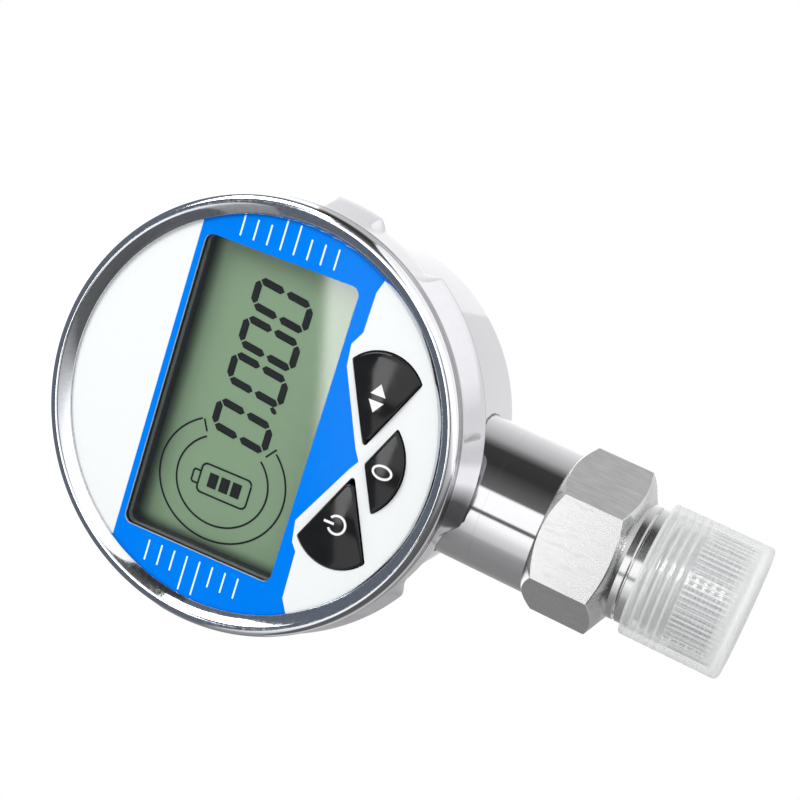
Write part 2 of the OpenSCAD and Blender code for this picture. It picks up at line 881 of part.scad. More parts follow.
// The lead rises up the stem's axis and bends forward into its connector
module sensor_lead() {
    connector_back = -axis_setback + board_back + connector_t;
    connector_h = dial_h - connector[1];
    color("gray") {
        translate([0, 0, lead_start]) cylinder(r = lead_r, h = connector_h - lead_bend_r - lead_start);
        translate([0, -lead_bend_r, connector_h - lead_bend_r])
            rotate([0, 90, 0]) rotate([0, 0, 90]) rotate_extrude(angle = 90)
            translate([lead_bend_r, 0]) circle(r = lead_r);
        translate([0, -lead_bend_r, connector_h]) rotate([90, 0, 0])
            cylinder(r = lead_r, h = -lead_bend_r - connector_back);
    }
}

// Cap

module cap_shape() {
    low = -gap - cap_end_t;
    translate([0, low + cap_round]) square([cap_r, cap_mouth - low - cap_round]);
    translate([0, low]) square([cap_r - cap_round, cap_end_t]);
    translate([cap_r - cap_round, low + cap_round]) circle(r = cap_round);
}

module thread_cap() {
    color("whitesmoke", 0.5)
    difference() {
        rotate_extrude() cap_shape();
        translate([0, 0, -gap]) cylinder(r = cap_inner_r, h = cap_mouth + gap + over);
    }
}

case_body();
case_gasket();
bezel_ring();
bezel_gasket();
face_overlay();
face_plate();
window_lens();
display_frame();
lcd_panel();
lcd_backlight();
contact_strips();
circuit_board();
board_standoffs();
board_screws();
tact_switches();
unit_key();
zero_key();
power_key();
board_chips();
lead_connector();
battery_holder();
battery_cells();
battery_contacts();
stem_tube();
stem_seal();
pressure_fitting();
sensor_cell();
sensor_seal();
sensor_retainer();
sensor_pins();
sensor_board();
sensor_lead();
thread_cap();
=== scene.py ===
import math

import bmesh
import bpy
from mathutils import Matrix, Vector


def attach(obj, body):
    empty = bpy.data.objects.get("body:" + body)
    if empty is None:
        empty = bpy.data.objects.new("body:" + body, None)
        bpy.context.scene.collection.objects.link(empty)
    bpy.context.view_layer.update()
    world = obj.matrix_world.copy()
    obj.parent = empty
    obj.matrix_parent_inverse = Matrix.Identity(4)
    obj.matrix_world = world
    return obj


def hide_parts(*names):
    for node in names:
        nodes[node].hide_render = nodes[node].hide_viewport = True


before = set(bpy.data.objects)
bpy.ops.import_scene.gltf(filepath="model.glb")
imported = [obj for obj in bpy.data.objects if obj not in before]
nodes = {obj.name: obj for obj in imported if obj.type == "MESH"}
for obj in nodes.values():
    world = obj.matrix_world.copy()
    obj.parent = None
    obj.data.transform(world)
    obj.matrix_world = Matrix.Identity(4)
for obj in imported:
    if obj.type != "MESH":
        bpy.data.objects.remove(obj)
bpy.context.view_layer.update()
scene = bpy.context.scene
MM = 0.001

# Sizes repeated from the part's source, in millimetres and degrees
DIAL_H, SETBACK = 86.5, 22.5
FACE_TURN = math.radians(3.3)
FACE_R, PLATE_R, FILM_T = 34.6, 36.4, 0.4
BEZEL_R, BEAD_R, BEAD_RISE = 38.4, 1.5, 2.0
SKIRT_R, SKIRT_DEPTH, SKIRT_WALL = 40.1, 8.9, 0.9
LUG_REACH, LUG_DEPTH, LUG_T, LUG_ANGLE = 1.2, 7.2, 1.3, 13.0
OPEN_TURN, SLOT_ANGLE = 22.5, 17.0
CASE_DEPTH, CASE_FLOOR = 36.2, 2.5
CUP_R, CUP_SHIFT, CUP_START, CUP_WALL, CUP_ROUND = 34.0, 3.5, 9.1, 2.0, 1.6
FLANGE_R, FLANGE_FRONT, FLANGE_BACK = 37.2, 3.4, 6.9
GROOVE_BEHIND_R, FRONT_CAVITY_R, FRONT_CAVITY_DEPTH = 35.9, 34.4, 7.6
STEM_R, SEAM_H = 13.3, 44.3
SPIGOT_R, SPIGOT_TOP, COUNTERBORE_R, TUBE_BORE_R, NECK_BORE_R = 10.2, 50.3, 10.3, 7.9, 8.5
SEAL_SEAT_R, SEAL_LOW, SEAL_HIGH = 9.0, 46.7, 47.9
HEX_AF, HEX_TURN, HEX_LOW, HEX_HIGH = 27.0, 5.0, 19.3, 33.9
HEX_FACE_R, HEX_HIGH_ANGLE = 13.4, 38.0
HEX_SHOULDER_R, HEX_LOW_ANGLE = 10.9, 27.0
COLLAR_R, COLLAR_LOW = 10.7, 15.0
COLLAR_GROOVE_R, COLLAR_GROOVE_TOP, COLLAR_GROOVE_H = 9.8, 18.0, 0.4
FITTING_SPIGOT_TOP, SOCKET_R, SOCKET_FLOOR, PORT_R = 36.9, 7.7, 21.0, 2.0
THREAD_R, THREAD_PITCH, THREAD_CHAMFER = 10.0, 1.5, 1.2
RELIEF_R, RELIEF_H = 9.1, 1.0
CAP_R, CAP_MOUTH, CAP_WALL, CAP_END_T, CAP_CLEAR, CAP_ROUND = 12.25, 16.0, 1.35, 2.0, 0.3, 0.9
WIN_X, WIN_UP, WIN_W, WIN_H, WIN_ROUND = 0.65, 2.2, 54.0, 29.8, 1.6
GLASS_DEPTH, GLASS_T = 5.0, 1.2
CROSS_DOWN, CROSS_HALF, KEY_STRIP = 21.5, math.radians(25.5), 2.0
KEY_RISE, KEY_GAP, KEY_BACK = 0.9, 0.25, 2.9
SIDE_KEY_R, SIDE_KEY_X = 8.2, 11.3
LOW_KEY_R, LOW_KEY_UP = 10.4, 2.0

# Notches of the bezel's skirt in the case frame, in degrees: the middle, and how far each reaches
# before and after it. The wide ones are as in the photo.
NOTCHES = ((22.7, 9.0, 5.6), (107.5, 8.5, 8.5), (202.7, 9.0, 5.6), (287.5, 8.5, 8.5))


# Places


def case_point(x, y, z):
    """Case frame (x right, y down to the stem, z into the case) to the row frame, in metres."""
    return Vector((x, z - SETBACK, DIAL_H - y)) * MM


def cup_point(x, y, z):
    """The same about the cup's own axis, which is nearer to the stem."""
    return case_point(x, y + CUP_SHIFT, z)


def face_point(u, v, z):
    """Face frame (u right, v up, z into the case), turned with the face."""
    c, s = math.cos(FACE_TURN), math.sin(FACE_TURN)
    x, y = u, -v
    return case_point(x * c + y * s, -x * s + y * c, z)


def stem_point(x, y, z):
    return Vector((x, y, z)) * MM


# Meshes. A part is a pair of vertices and faces.


def solid(name, part, mats=(), face_mats=None, sharp=35.0):
    """An object of the scene, welded, and with the edges marked that are sharper than an angle."""
    mesh = bpy.data.meshes.new(name)
    mesh.from_pydata([tuple(v) for v in part[0]], [], part[1])
    for m in mats:
        mesh.materials.append(m)
    if face_mats:
        mesh.polygons.foreach_set("material_index", face_mats)
    obj = bpy.data.objects.new(name, mesh)
    scene.collection.objects.link(obj)
    clean(obj, sharp)
    return obj


def make(name, part, body, node_names, mats, face_mats=None, sharp=35.0):
    """A finished piece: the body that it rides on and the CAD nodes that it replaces."""
    obj = solid(name, part, mats, face_mats, sharp)
    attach(obj, body)
    if node_names:
        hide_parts(*node_names)


def clean(obj, sharp):
    """Welds, turns the faces outwards and marks the edges that are sharper than an angle."""
    bm = bmesh.new()
    bm.from_mesh(obj.data)
    bmesh.ops.remove_doubles(bm, verts=bm.verts, dist=2e-7)
    bmesh.ops.dissolve_degenerate(bm, edges=bm.edges, dist=1e-8)
    bmesh.ops.recalc_face_normals(bm, faces=bm.faces)
    limit = math.radians(sharp)
    for f in bm.faces:
        f.smooth = True
    for e in bm.edges:
        e.smooth = len(e.link_faces) == 2 and e.calc_face_angle(0.0) < limit
    bm.to_mesh(obj.data)
    bm.free()


def skin(rows, ring=True, closed=True):
    """Faces between neighbouring rows of points. In a ring the last row meets the first, and in
    closed rows the last point meets the first."""
    n, count = len(rows[0]), len(rows)
    faces = []
    for i in range(count if ring else count - 1):
        j = (i + 1) % count
        for k in range(n if closed else n - 1):
            m = (k + 1) % n
            faces.append((i * n + k, j * n + k, j * n + m, i * n + m))
    return [p for row in rows for p in row], faces


def turned_row(profile, place, degrees):
    """A profile of (radius, height) at one angle round its axis."""
    a = math.radians(degrees)
    return [place(r * math.cos(a), r * math.sin(a), z) for r, z in profile]


def lathe(profile, place, steps=192):
    return skin([turned_row(profile, place, 360.0 * i / steps) for i in range(steps)])


def sector(profile, place, start, sweep, steps):
    """A profile turned over part of a circle, with flat ends."""
    rows = [turned_row(profile, place, start + sweep * i / steps) for i in range(steps + 1)]
    verts, faces = skin(rows, ring=False)
    n = len(profile)
    return verts, faces + [tuple(range(n)), tuple(steps * n + k for k in reversed(range(n)))]


def drum(r, low, high, place):
    return lathe([(0.0, low), (r, low), (r, high), (0.0, high)], place)


def join(*parts):
    verts, faces = [], []
    for v, f in parts:
        base = len(verts)
        verts += list(v)
        faces += [tuple(base + i for i in face) for face in f]
    return verts, faces


def quarter(steps):
    """Angles from 0 to a right angle."""
    return [math.pi / 2 * k / steps for k in range(steps + 1)]


def smooth(t):
    t = max(0.0, min(1.0, t))
    return t * t * (3 - 2 * t)


# Flat outlines and what stands on them


def rounded(points, r, steps=5):
    """Rounds the corners of a closed outline of (x, y) points by radius r."""
    out = []
    n = len(points)
    for i in range(n):
        p, a, b = Vector(points[i]), Vector(points[i - 1]), Vector(points[(i + 1) % n])
        da, db = (a - p), (b - p)
        la, lb = da.length, db.length
        if la < 1e-9 or lb < 1e-9:
            continue
        da, db = da / la, db / lb
        half = math.acos(max(-1, min(1, da.dot(db)))) / 2
        reach = min(r / max(math.tan(half), 1e-6), la * 0.49, lb * 0.49)
        rr = reach * math.tan(half)
        if rr < 1e-6 or half > math.radians(89):
            out.append(tuple(p))
            continue
        centre = p + (da + db).normalized() * (rr / math.sin(half))
        s, e = p + da * reach - centre, p + db * reach - centre
        a0, a1 = math.atan2(s.y, s.x), math.atan2(e.y, e.x)
        while a1 - a0 > math.pi:
            a1 -= 2 * math.pi
        while a1 - a0 < -math.pi:
            a1 += 2 * math.pi
        for k in range(steps + 1):
            t = a0 + (a1 - a0) * k / steps
            out.append((centre.x + rr * math.cos(t), centre.y + rr * math.sin(t)))
    return out


def oval(cx, cy, ru, rv, a0, a1, steps=72):
    """Points along part of an ellipse, from one angle in degrees to the other."""
    angles = [math.radians(a0 + (a1 - a0) * k / steps) for k in range(steps + 1)]
    return [(cx + ru * math.cos(a), cy + rv * math.sin(a)) for a in angles]


def box_outline(x0, y0, x1, y1):
    return [(x0, y0), (x1, y0), (x1, y1), (x0, y1)]


def window_outline(grow=0.0):
    w, h = WIN_W / 2 + grow, WIN_H / 2 + grow
    corners = box_outline(WIN_X - w, WIN_UP - h, WIN_X + w, WIN_UP + h)
    return rounded(corners, WIN_ROUND + grow, 8)


def side_key_outline(side, shrink, steps=24):
    """Wedge from the cross, ended by an arc, in the face frame."""
    edge = KEY_STRIP / 2 + shrink
    start = edge / math.sin(CROSS_HALF)
    r, cx = SIDE_KEY_R - shrink, SIDE_KEY_X
    t = math.tan(CROSS_HALF)
    aa, bb, cc = 1 + t * t, -2 * cx - 2 * start * t * t, cx * cx + start * start * t * t - r * r
    x = (-bb + math.sqrt(bb * bb - 4 * aa * cc)) / (2 * aa)
    y = (x - start) * t
    a = math.degrees(math.atan2(y, x - cx))
    pts = [(start, 0.0)] + oval(cx, 0.0, r, r, -a, a, steps)
    return [(side * px, py - CROSS_DOWN) for px, py in pts]


def low_key_outline(shrink, steps=24):
    """Wedge below the cross. Its edge runs from (0, -start) to (x, -start - x t)."""
    start = (KEY_STRIP / 2 + shrink) / math.cos(CROSS_HALF)
    r, cy = LOW_KEY_R - shrink, LOW_KEY_UP
    t = math.tan(CROSS_HALF)
    k0 = start + cy
    aa, bb, cc = 1 + t * t, 2 * k0 * t, k0 * k0 - r * r
    x = (-bb + math.sqrt(bb * bb - 4 * aa * cc)) / (2 * aa)
    y = -start - x * t
    a = math.degrees(math.atan2(y - cy, x))
    pts = [(0.0, -start)] + oval(0.0, cy, r, r, a, -180.0 - a, steps)
    return [(px, py - CROSS_DOWN) for px, py in pts]


def clip_circle(points, r, steps=40):
    """Cuts a closed outline by the circle of radius r about the face's centre."""
    out = []
    for p, q in zip(points, points[1:] + points[:1]):
        for k in range(steps):
            s = Vector(p).lerp(Vector(q), k / steps)
            if s.length > r:
                s = s.normalized() * r
            if not out or (s - out[-1]).length > 1e-4:
                out.append(s)
    return [tuple(s) for s in out]


def tri_fill(outer, holes, z):
    """A flat face with holes, filled by triangles. Outlines are in the face frame."""
    bm = bmesh.new()
    edges = []
    for loop in [outer] + holes:
        vs = [bm.verts.new((x, y, 0)) for x, y in loop]
        edges += [bm.edges.new((vs[i], vs[(i + 1) % len(vs)])) for i in range(len(vs))]
    bmesh.ops.triangle_fill(bm, use_beauty=True, use_dissolve=False, edges=edges)
    bm.verts.index_update()
    verts = [face_point(v.co.x, v.co.y, z) for v in bm.verts]
    faces = [tuple(v.index for v in f.verts) for f in bm.faces]
    bm.free()
    return verts, faces


def wall(outline, *depths):
    """The side of an outline between two depths."""
    return skin([[face_point(x, y, z) for x, y in outline] for z in depths], ring=False)


def plate(outline, holes, z0, z1):
    """A flat piece with holes between two depths."""
    flats = [tri_fill(outline, holes, z) for z in (z0, z1)]
    return join(*flats, *[wall(loop, z0, z1) for loop in [outline] + holes])


def slab(outline, z0, z1):
    """A flat piece with a plain outline between two depths."""
    n = len(outline)
    verts, faces = wall(outline, z0, z1)
    return verts, faces + [tuple(range(n)), tuple(reversed(range(n, 2 * n)))]


def stroke(points, t):
    """Quads of width t along a path."""
    out = []
    for p, q in zip(points, points[1:]):
        p, q = Vector(p), Vector(q)
        d = (q - p).normalized()
        side = Vector((-d.y, d.x)) * t / 2
        p, q = p - d * t * 0.3, q + d * t * 0.3
        out.append([tuple(p - side), tuple(q - side), tuple(q + side), tuple(p + side)])
    return out


# Shader nodes. A value is a number, a colour or another node's output.


def feed(nt, socket, value):
    if isinstance(value, bpy.types.NodeSocket):
        nt.links.new(value, socket)
    else:
        socket.default_value = value


def maths(nt, op, a, b=0.0):
    node = nt.nodes.new("ShaderNodeMath")
    node.operation = op
    feed(nt, node.inputs[0], a)
    feed(nt, node.inputs[1], b)
    return node.outputs[0]


def vector_maths(nt, op, a, b=(0, 0, 0)):
    node = nt.nodes.new("ShaderNodeVectorMath")
    node.operation = op
    feed(nt, node.inputs[0], a)
    feed(nt, node.inputs[1], b)
    return node.outputs["Value"]


def ramp(nt, source, low, high, to_low=0.0, to_high=1.0, kind="LINEAR"):
    """Maps low to to_low and high to to_high. The low end may be the greater of the two."""
    node = nt.nodes.new("ShaderNodeMapRange")
    node.interpolation_type = kind
    for key, value in (("From Min", low), ("From Max", high), ("To Min", to_low), ("To Max", to_high)):
        node.inputs[key].default_value = value
    nt.links.new(source, node.inputs["Value"])
    return node.outputs[0]


def soft_step(nt, source, low, high):
    return ramp(nt, source, low, high, kind="SMOOTHSTEP")


def colour_mix(nt, source, a, b):
    node = nt.nodes.new("ShaderNodeValToRGB")
    node.color_ramp.elements[0].color = (*a, 1)
    node.color_ramp.elements[1].color = (*b, 1)
    nt.links.new(source, node.inputs[0])
    return node.outputs[0]


def blend_colours(nt, factor, a, b):
    node = nt.nodes.new("ShaderNodeMix")
    node.data_type = "RGBA"
    for k, value in ((0, factor), (6, a), (7, b)):
        feed(nt, node.inputs[k], (*value, 1) if isinstance(value, tuple) else value)
    return node.outputs[2]


def blend_shaders(nt, factor, a, b):
    node = nt.nodes.new("ShaderNodeMixShader")
    for k, value in enumerate((factor, a, b)):
        feed(nt, node.inputs[k], value)
    return node.outputs[0]


def shader(nt, kind, **values):
    """A shader node with its inputs set by name."""
    node = nt.nodes.new("ShaderNode" + kind)
    for key, value in values.items():
        feed(nt, node.inputs[key], value)
    return node.outputs[0]


def coords(nt, kind):
    return nt.nodes.new("ShaderNodeTexCoord").outputs[kind]


def light_path(nt, kind):
    return nt.nodes.new("ShaderNodeLightPath").outputs[kind]


def split_xyz(nt, vector):
    node = nt.nodes.new("ShaderNodeSeparateXYZ")
    nt.links.new(vector, node.inputs[0])
    return node.outputs


def compass_angle(nt, x, y):
    """Direction in degrees, from +X towards +Y."""
    return in_degrees(nt, maths(nt, "ARCTAN2", y, x))


def in_degrees(nt, radians):
    return maths(nt, "MULTIPLY", radians, 180 / math.pi)


def compass(nt, around, levels):
    """Grey by direction: levels are pairs of a direction, from -180 to 180 degrees, and a brightness."""
    node = nt.nodes.new("ShaderNodeValToRGB")
    stops = node.color_ramp.elements
    while len(stops) < len(levels):
        stops.new(0.5)
    for stop, (at, level) in zip(stops, levels):
        stop.position = (at + 180) / 360
        stop.color = (level, level, level * 1.01, 1)
    nt.links.new(ramp(nt, around, -180.0, 180.0), node.inputs[0])
    return node.outputs[0]


def noise_of(nt, scale, detail=4.0, stretch=(1, 1, 1)):
    place = nt.nodes.new("ShaderNodeMapping")
    place.inputs["Scale"].default_value = stretch
    nt.links.new(coords(nt, "Object"), place.inputs[0])
    node = nt.nodes.new("ShaderNodeTexNoise")
    node.inputs["Scale"].default_value = scale
    node.inputs["Detail"].default_value = detail
    nt.links.new(place.outputs[0], node.inputs["Vector"])
    return node.outputs["Fac"]


def sheen(nt, least, most):
    """Share of reflection that grows towards the edge of a surface, the same from either side."""
    node = nt.nodes.new("ShaderNodeLayerWeight")
    node.inputs[0].default_value = 0.5
    return ramp(nt, maths(nt, "POWER", node.outputs["Facing"], 4.0), 0.0, 1.0, least, most)


# Materials

NOISE_LOW, NOISE_HIGH = 0.3, 0.7
METAL_BUMP, FINE_BUMP, PLASTIC_BUMP = 0.02 * MM, 0.01 * MM, 0.03 * MM


def material(name):
    m = bpy.data.materials.new(name)
    m.use_nodes = True
    nt = m.node_tree
    nt.nodes.clear()
    out = nt.nodes.new("ShaderNodeOutputMaterial")
    p = nt.nodes.new("ShaderNodeBsdfPrincipled")
    nt.links.new(p.outputs[0], out.inputs[0])
    return m, nt, p, out


def surface(nt, p, grain, colours, rough, bump):
    """Grain between two colours and two values of roughness, with a bump of (strength, distance)."""
    nt.links.new(colour_mix(nt, grain, *colours), p.inputs["Base Color"])
    nt.links.new(ramp(nt, grain, NOISE_LOW, NOISE_HIGH, *rough), p.inputs["Roughness"])
    node = nt.nodes.new("ShaderNodeBump")
    node.inputs["Strength"].default_value, node.inputs["Distance"].default_value = bump
    nt.links.new(grain, node.inputs["Height"])
    nt.links.new(node.outputs[0], p.inputs["Normal"])


def metal(name, a, b, rough, spread, scale, stretch=(1, 1, 1), strength=0.0, distance=METAL_BUMP):
    m, nt, p, _ = material(name)
    p.inputs["Metallic"].default_value = 1.0
    grain = noise_of(nt, scale, 5.0, stretch)
    surface(nt, p, grain, (a, b), (rough, rough + spread), (strength, distance))
    return m


def plastic(name, a, b, rough, scale=900.0, strength=0.1, specular=0.5):
    m, nt, p, _ = material(name)
    p.inputs["Specular IOR Level"].default_value = specular
    surface(nt, p, noise_of(nt, scale), (a, b), (rough, rough + 0.08), (strength, PLASTIC_BUMP))
    return m


def display_glass():
    """Grey-green display that lies in the soft shadow of its frame at the top and at the left."""
    shadow, plain = (0.015, 0.022, 0.014), (0.225, 0.338, 0.208)
    top_from, top_to, left_from, left_to = 17.6, 14.4, -26.9, -24.2
    m, nt, p, _ = material("display_glass")
    place = coords(nt, "Object")
    c, s = math.cos(FACE_TURN), math.sin(FACE_TURN)
    across = vector_maths(nt, "DOT_PRODUCT", place, (c, 0, s))
    up = vector_maths(nt, "DOT_PRODUCT", place, (-s, 0, c))
    centre_u, centre_v = DIAL_H * s, DIAL_H * c
    below = soft_step(nt, up, (centre_v + top_from) * MM, (centre_v + top_to) * MM)
    right = soft_step(nt, across, (centre_u + left_from) * MM, (centre_u + left_to) * MM)
    lit = maths(nt, "MULTIPLY", below, right)
    nt.links.new(colour_mix(nt, lit, shadow, plain), p.inputs["Base Color"])
    p.inputs["Roughness"].default_value = 0.35
    return m


def clear_pane():
    m, nt, p, out = material("clear_pane")
    nt.nodes.remove(p)
    clear = shader(nt, "BsdfTransparent", Color=(0.985, 0.99, 0.985, 1))
    shine = shader(nt, "BsdfGlossy", Roughness=0.03)
    nt.links.new(blend_shaders(nt, sheen(nt, 0.055, 0.6), clear, shine), out.inputs[0])
    return m


def cap_plastic():
    """Milky thin plastic with fine ribs inside its closed half. It bends no rays."""
    m, nt, p, out = material("cap_plastic")
    nt.nodes.remove(p)
    x, y, z = split_xyz(nt, coords(nt, "Object"))
    rib_waves, ring_pitch = 38.0, 0.75
    mouth_low, mouth_high, ribs_top = 7.8, 8.8, 8.6

    def lines(source, rate, power):
        """Fine lines, one for each half turn of source times rate."""
        wave = maths(nt, "SINE", maths(nt, "MULTIPLY", source, rate))
        return maths(nt, "POWER", maths(nt, "ABSOLUTE", wave), power)

    def times(a, b):
        return maths(nt, "MULTIPLY", a, b)

    ribs = lines(maths(nt, "ARCTAN2", y, x), rib_waves, 4.0)
    rings = lines(z, math.pi / (ring_pitch * MM), 6.0)
    # Painted highlight: white lines at the thread's pitch in the mouth half, where the lit crests of the
    # thread shine through the plastic.
    painted_crest_highlights = lines(z, math.pi / (THREAD_PITCH * MM), 10.0)
    half = times(ramp(nt, z, ribs_top * MM, mouth_low * MM), ramp(nt, z, -0.4 * MM, 1.6 * MM))
    mouth = ramp(nt, z, mouth_low * MM, mouth_high * MM)
    end = ramp(nt, z, 1.4 * MM, -1.2 * MM)
    veil = 0.17
    for layer, share in ((times(ribs, half), 0.45), (times(rings, half), 0.06),
                         (times(painted_crest_highlights, mouth), 0.32), (mouth, 0.1), (end, 0.45)):
        veil = maths(nt, "ADD", times(layer, share), veil)
    clear = shader(nt, "BsdfTransparent", Color=(0.985, 0.99, 0.99, 1))
    milk = shader(nt, "BsdfTranslucent", Color=(0.97, 0.98, 0.98, 1))
    matt = shader(nt, "BsdfDiffuse", Color=(0.95, 0.955, 0.96, 1))
    shine = shader(nt, "BsdfGlossy", Roughness=0.2)
    thin = blend_shaders(nt, veil, clear, blend_shaders(nt, 0.6, milk, matt))
    nt.links.new(blend_shaders(nt, sheen(nt, 0.02, 0.4), thin, shine), out.inputs[0])
    return m


polished = metal("steel_polished", (0.64, 0.64, 0.65), (0.68, 0.68, 0.69), 0.06, 0.03, 900, (1, 1, 0.05))
ring_steel = metal("steel_bezel", (0.66, 0.66, 0.68), (0.72, 0.72, 0.74), 0.06, 0.05, 700)
lip_steel = metal("steel_lip", (0.55, 0.57, 0.61), (0.74, 0.75, 0.77), 0.05, 0.08, 1400, (1, 0.3, 1),
                  0.04, FINE_BUMP)
# Painted shade: darker steel in the crease behind the bead and along the skirt's rear edge, where the skirt
# meets the cup.
painted_shade_steel = metal("steel_painted_shade", (0.26, 0.26, 0.27), (0.38, 0.38, 0.39), 0.1, 0.08, 900)
weld_steel = metal("steel_weld", (0.02, 0.02, 0.02), (0.35, 0.34, 0.33), 0.3, 0.3, 1500,
                   strength=0.5, distance=0.1 * MM)
turned = metal("steel_turned", (0.62, 0.62, 0.62), (0.68, 0.68, 0.68), 0.14, 0.06, 2600, (0.25, 0.25, 2.5),
               0.04, FINE_BUMP)
brushed = metal("steel_brushed", (0.47, 0.47, 0.47), (0.66, 0.66, 0.65), 0.16, 0.14, 2400, (0.5, 0.5, 0.12),
                0.12, FINE_BUMP)
screw_steel = metal("steel_screw", (0.42, 0.42, 0.43), (0.55, 0.55, 0.56), 0.25, 0.15, 2500, strength=0.1)
spring_steel = metal("steel_spring", (0.52, 0.52, 0.51), (0.62, 0.62, 0.6), 0.2, 0.1, 2500, strength=0.1)
brass = metal("brass_plain", (0.62, 0.45, 0.2), (0.78, 0.6, 0.3), 0.25, 0.12, 2200, (1, 1, 4), 0.12)
gold = metal("gold_plated", (0.78, 0.58, 0.22), (0.86, 0.68, 0.32), 0.2, 0.08, 3000, strength=0.05)
film_white = plastic("film_white", (0.735, 0.755, 0.76), (0.75, 0.77, 0.775), 0.05, 500, 0.0, 0.04)
film_blue = plastic("film_blue", (0.0, 0.165, 0.72), (0.0, 0.185, 0.77), 0.05, 500, 0.0, 0.04)
film_tick = plastic("film_tick", (0.66, 0.86, 0.92), (0.72, 0.9, 0.95), 0.05, 500, 0.0, 0.04)
key_black = plastic("key_black", (0.006, 0.006, 0.007), (0.012, 0.012, 0.013), 0.04, 300, 0.0, 0.3)
key_white = plastic("key_white", (0.75, 0.76, 0.77), (0.8, 0.8, 0.8), 0.3, 500, 0.02)
plate_grey = plastic("plastic_grey", (0.16, 0.16, 0.17), (0.22, 0.22, 0.23), 0.45)
frame_black = plastic("plastic_black", (0.006, 0.006, 0.007), (0.012, 0.012, 0.013), 0.3, 900, 0.0)
white_plastic = plastic("plastic_white", (0.72, 0.72, 0.70), (0.8, 0.8, 0.78), 0.4)
board = plastic("board_green", (0.012, 0.10, 0.035), (0.03, 0.16, 0.06), 0.3, 400)
rubber = plastic("rubber_black", (0.012, 0.012, 0.012), (0.03, 0.03, 0.03), 0.6, 1500, 0.3)
rubber_grey = plastic("rubber_grey", (0.15, 0.15, 0.16), (0.28, 0.28, 0.29), 0.6, 3000, 0.3)
wrap = plastic("battery_wrap", (0.03, 0.13, 0.05), (0.05, 0.18, 0.07), 0.25, 200, 0.05)
sleeve = plastic("lead_sleeve", (0.25, 0.25, 0.27), (0.36, 0.36, 0.38), 0.45, 1200, 0.2)
segment = plastic("display_segment", (0.006, 0.006, 0.006), (0.009, 0.009, 0.009), 0.5, 400, 0.0, 0.1)
display = display_glass()
pane = clear_pane()
cap_mat = cap_plastic()

# CAD nodes that keep their solids get a finished material
CARRIED = {
    "case_gasket": rubber, "bezel_gasket": rubber, "face_plate": plate_grey, "display_frame": frame_black,
    "lcd_backlight": white_plastic, "contact_strips": rubber_grey, "circuit_board": board,
    "board_standoffs": brass, "board_screws": screw_steel, "tact_switches": frame_black,
    "board_chips": frame_black, "lead_connector": white_plastic, "battery_holder": frame_black,
    "battery_cells": wrap, "battery_contacts": spring_steel, "stem_seal": rubber, "sensor_cell": turned,
    "sensor_seal": rubber, "sensor_retainer": brass, "sensor_pins": gold, "sensor_board": board,
    "sensor_lead": sleeve,
}
for name, mat in CARRIED.items():
    data = nodes[name].data
    data.materials.clear()
    data.materials.append(mat)


# Bezel ring

RAMP_EARLY, RAMP_ANGLE = 0.4, 4.2
LIP_BACK, LIP_EDGE = -0.12, -0.5
LEAN_FROM = 0.4  # the skirt leans out from this far in front of the case frame's origin
SKIRT_ROWS = (1.35, 1.6, 1.9, 2.3, 2.9, 4.0, 5.5, 7.0, SKIRT_DEPTH - 0.3)
# Fine groove behind the bead: depth along the skirt, and how deep it cuts
BEAD_GROOVE = ((0.25, 0.0), (0.5, 0.14), (0.75, 0.14), (1.0, 0.0))
# The lip's faces start at the profile's points before LIP_POINTS. The faces with painted shade, on the
# bead's outer side, in its fine groove and on the skirt's rear edge, start at the points listed on the line
# after it.
LIP_POINTS = 8
PAINTED_SHADE_POINTS = (*range(15, 22), *range(30, 33))


def notch_weight(a):
    """0 in a notch of the skirt and 1 on a raised stretch, at angle a in the case frame."""
    best = 1.0
    for middle, before, after in NOTCHES:
        d = (a - middle + 180) % 360 - 180
        reach = after if d > 0 else before
        best = min(best, smooth((abs(d) - reach + RAMP_EARLY) / RAMP_ANGLE))
    return best


def bezel_profile(w):
    """Outline of the ring in (radius, depth): lip, bead and skirt, which leans out by the weight w."""
    ring_r, ring_z = BEZEL_R - BEAD_R, BEAD_R - BEAD_RISE
    lean, bead_steps = math.radians(25), 14
    middle = BEZEL_R - SKIRT_WALL / 2
    slope = (SKIRT_R - middle) / (SKIRT_DEPTH + LEAN_FROM)
    pts = [(FACE_R, LIP_BACK), (FACE_R, LIP_EDGE), (FACE_R + 0.08, LIP_EDGE - 0.12)]
    for k in range(bead_steps + 1):
        t = -lean + (math.pi / 2 + lean) * k / bead_steps
        pts.append((ring_r + BEAD_R * math.sin(t), ring_z - BEAD_R * math.cos(t)))
    pts += [(BEZEL_R - cut, z) for z, cut in BEAD_GROOVE]
    for z in SKIRT_ROWS:
        r = max(BEZEL_R, middle + (z + LEAN_FROM) * slope)
        pts.append((BEZEL_R + (r - BEZEL_R) * w, z))
    edge = BEZEL_R + (SKIRT_R - BEZEL_R) * w
    # The inside follows the skirt's lean from hollow_start on
    inner, inner_front = edge - SKIRT_WALL, BEZEL_R - SKIRT_WALL
    hollow_start, hollow_mid, mid_lag = 4.45, 5.2, 0.85
    cut, soft = 0.15, 0.08
    pts += [(edge - soft, SKIRT_DEPTH - soft), (edge - 0.25, SKIRT_DEPTH), (inner + cut, SKIRT_DEPTH),
            (inner, SKIRT_DEPTH - cut), (inner - mid_lag * w, hollow_mid), (inner_front, hollow_start),
            (inner_front, LIP_BACK)]
    return pts


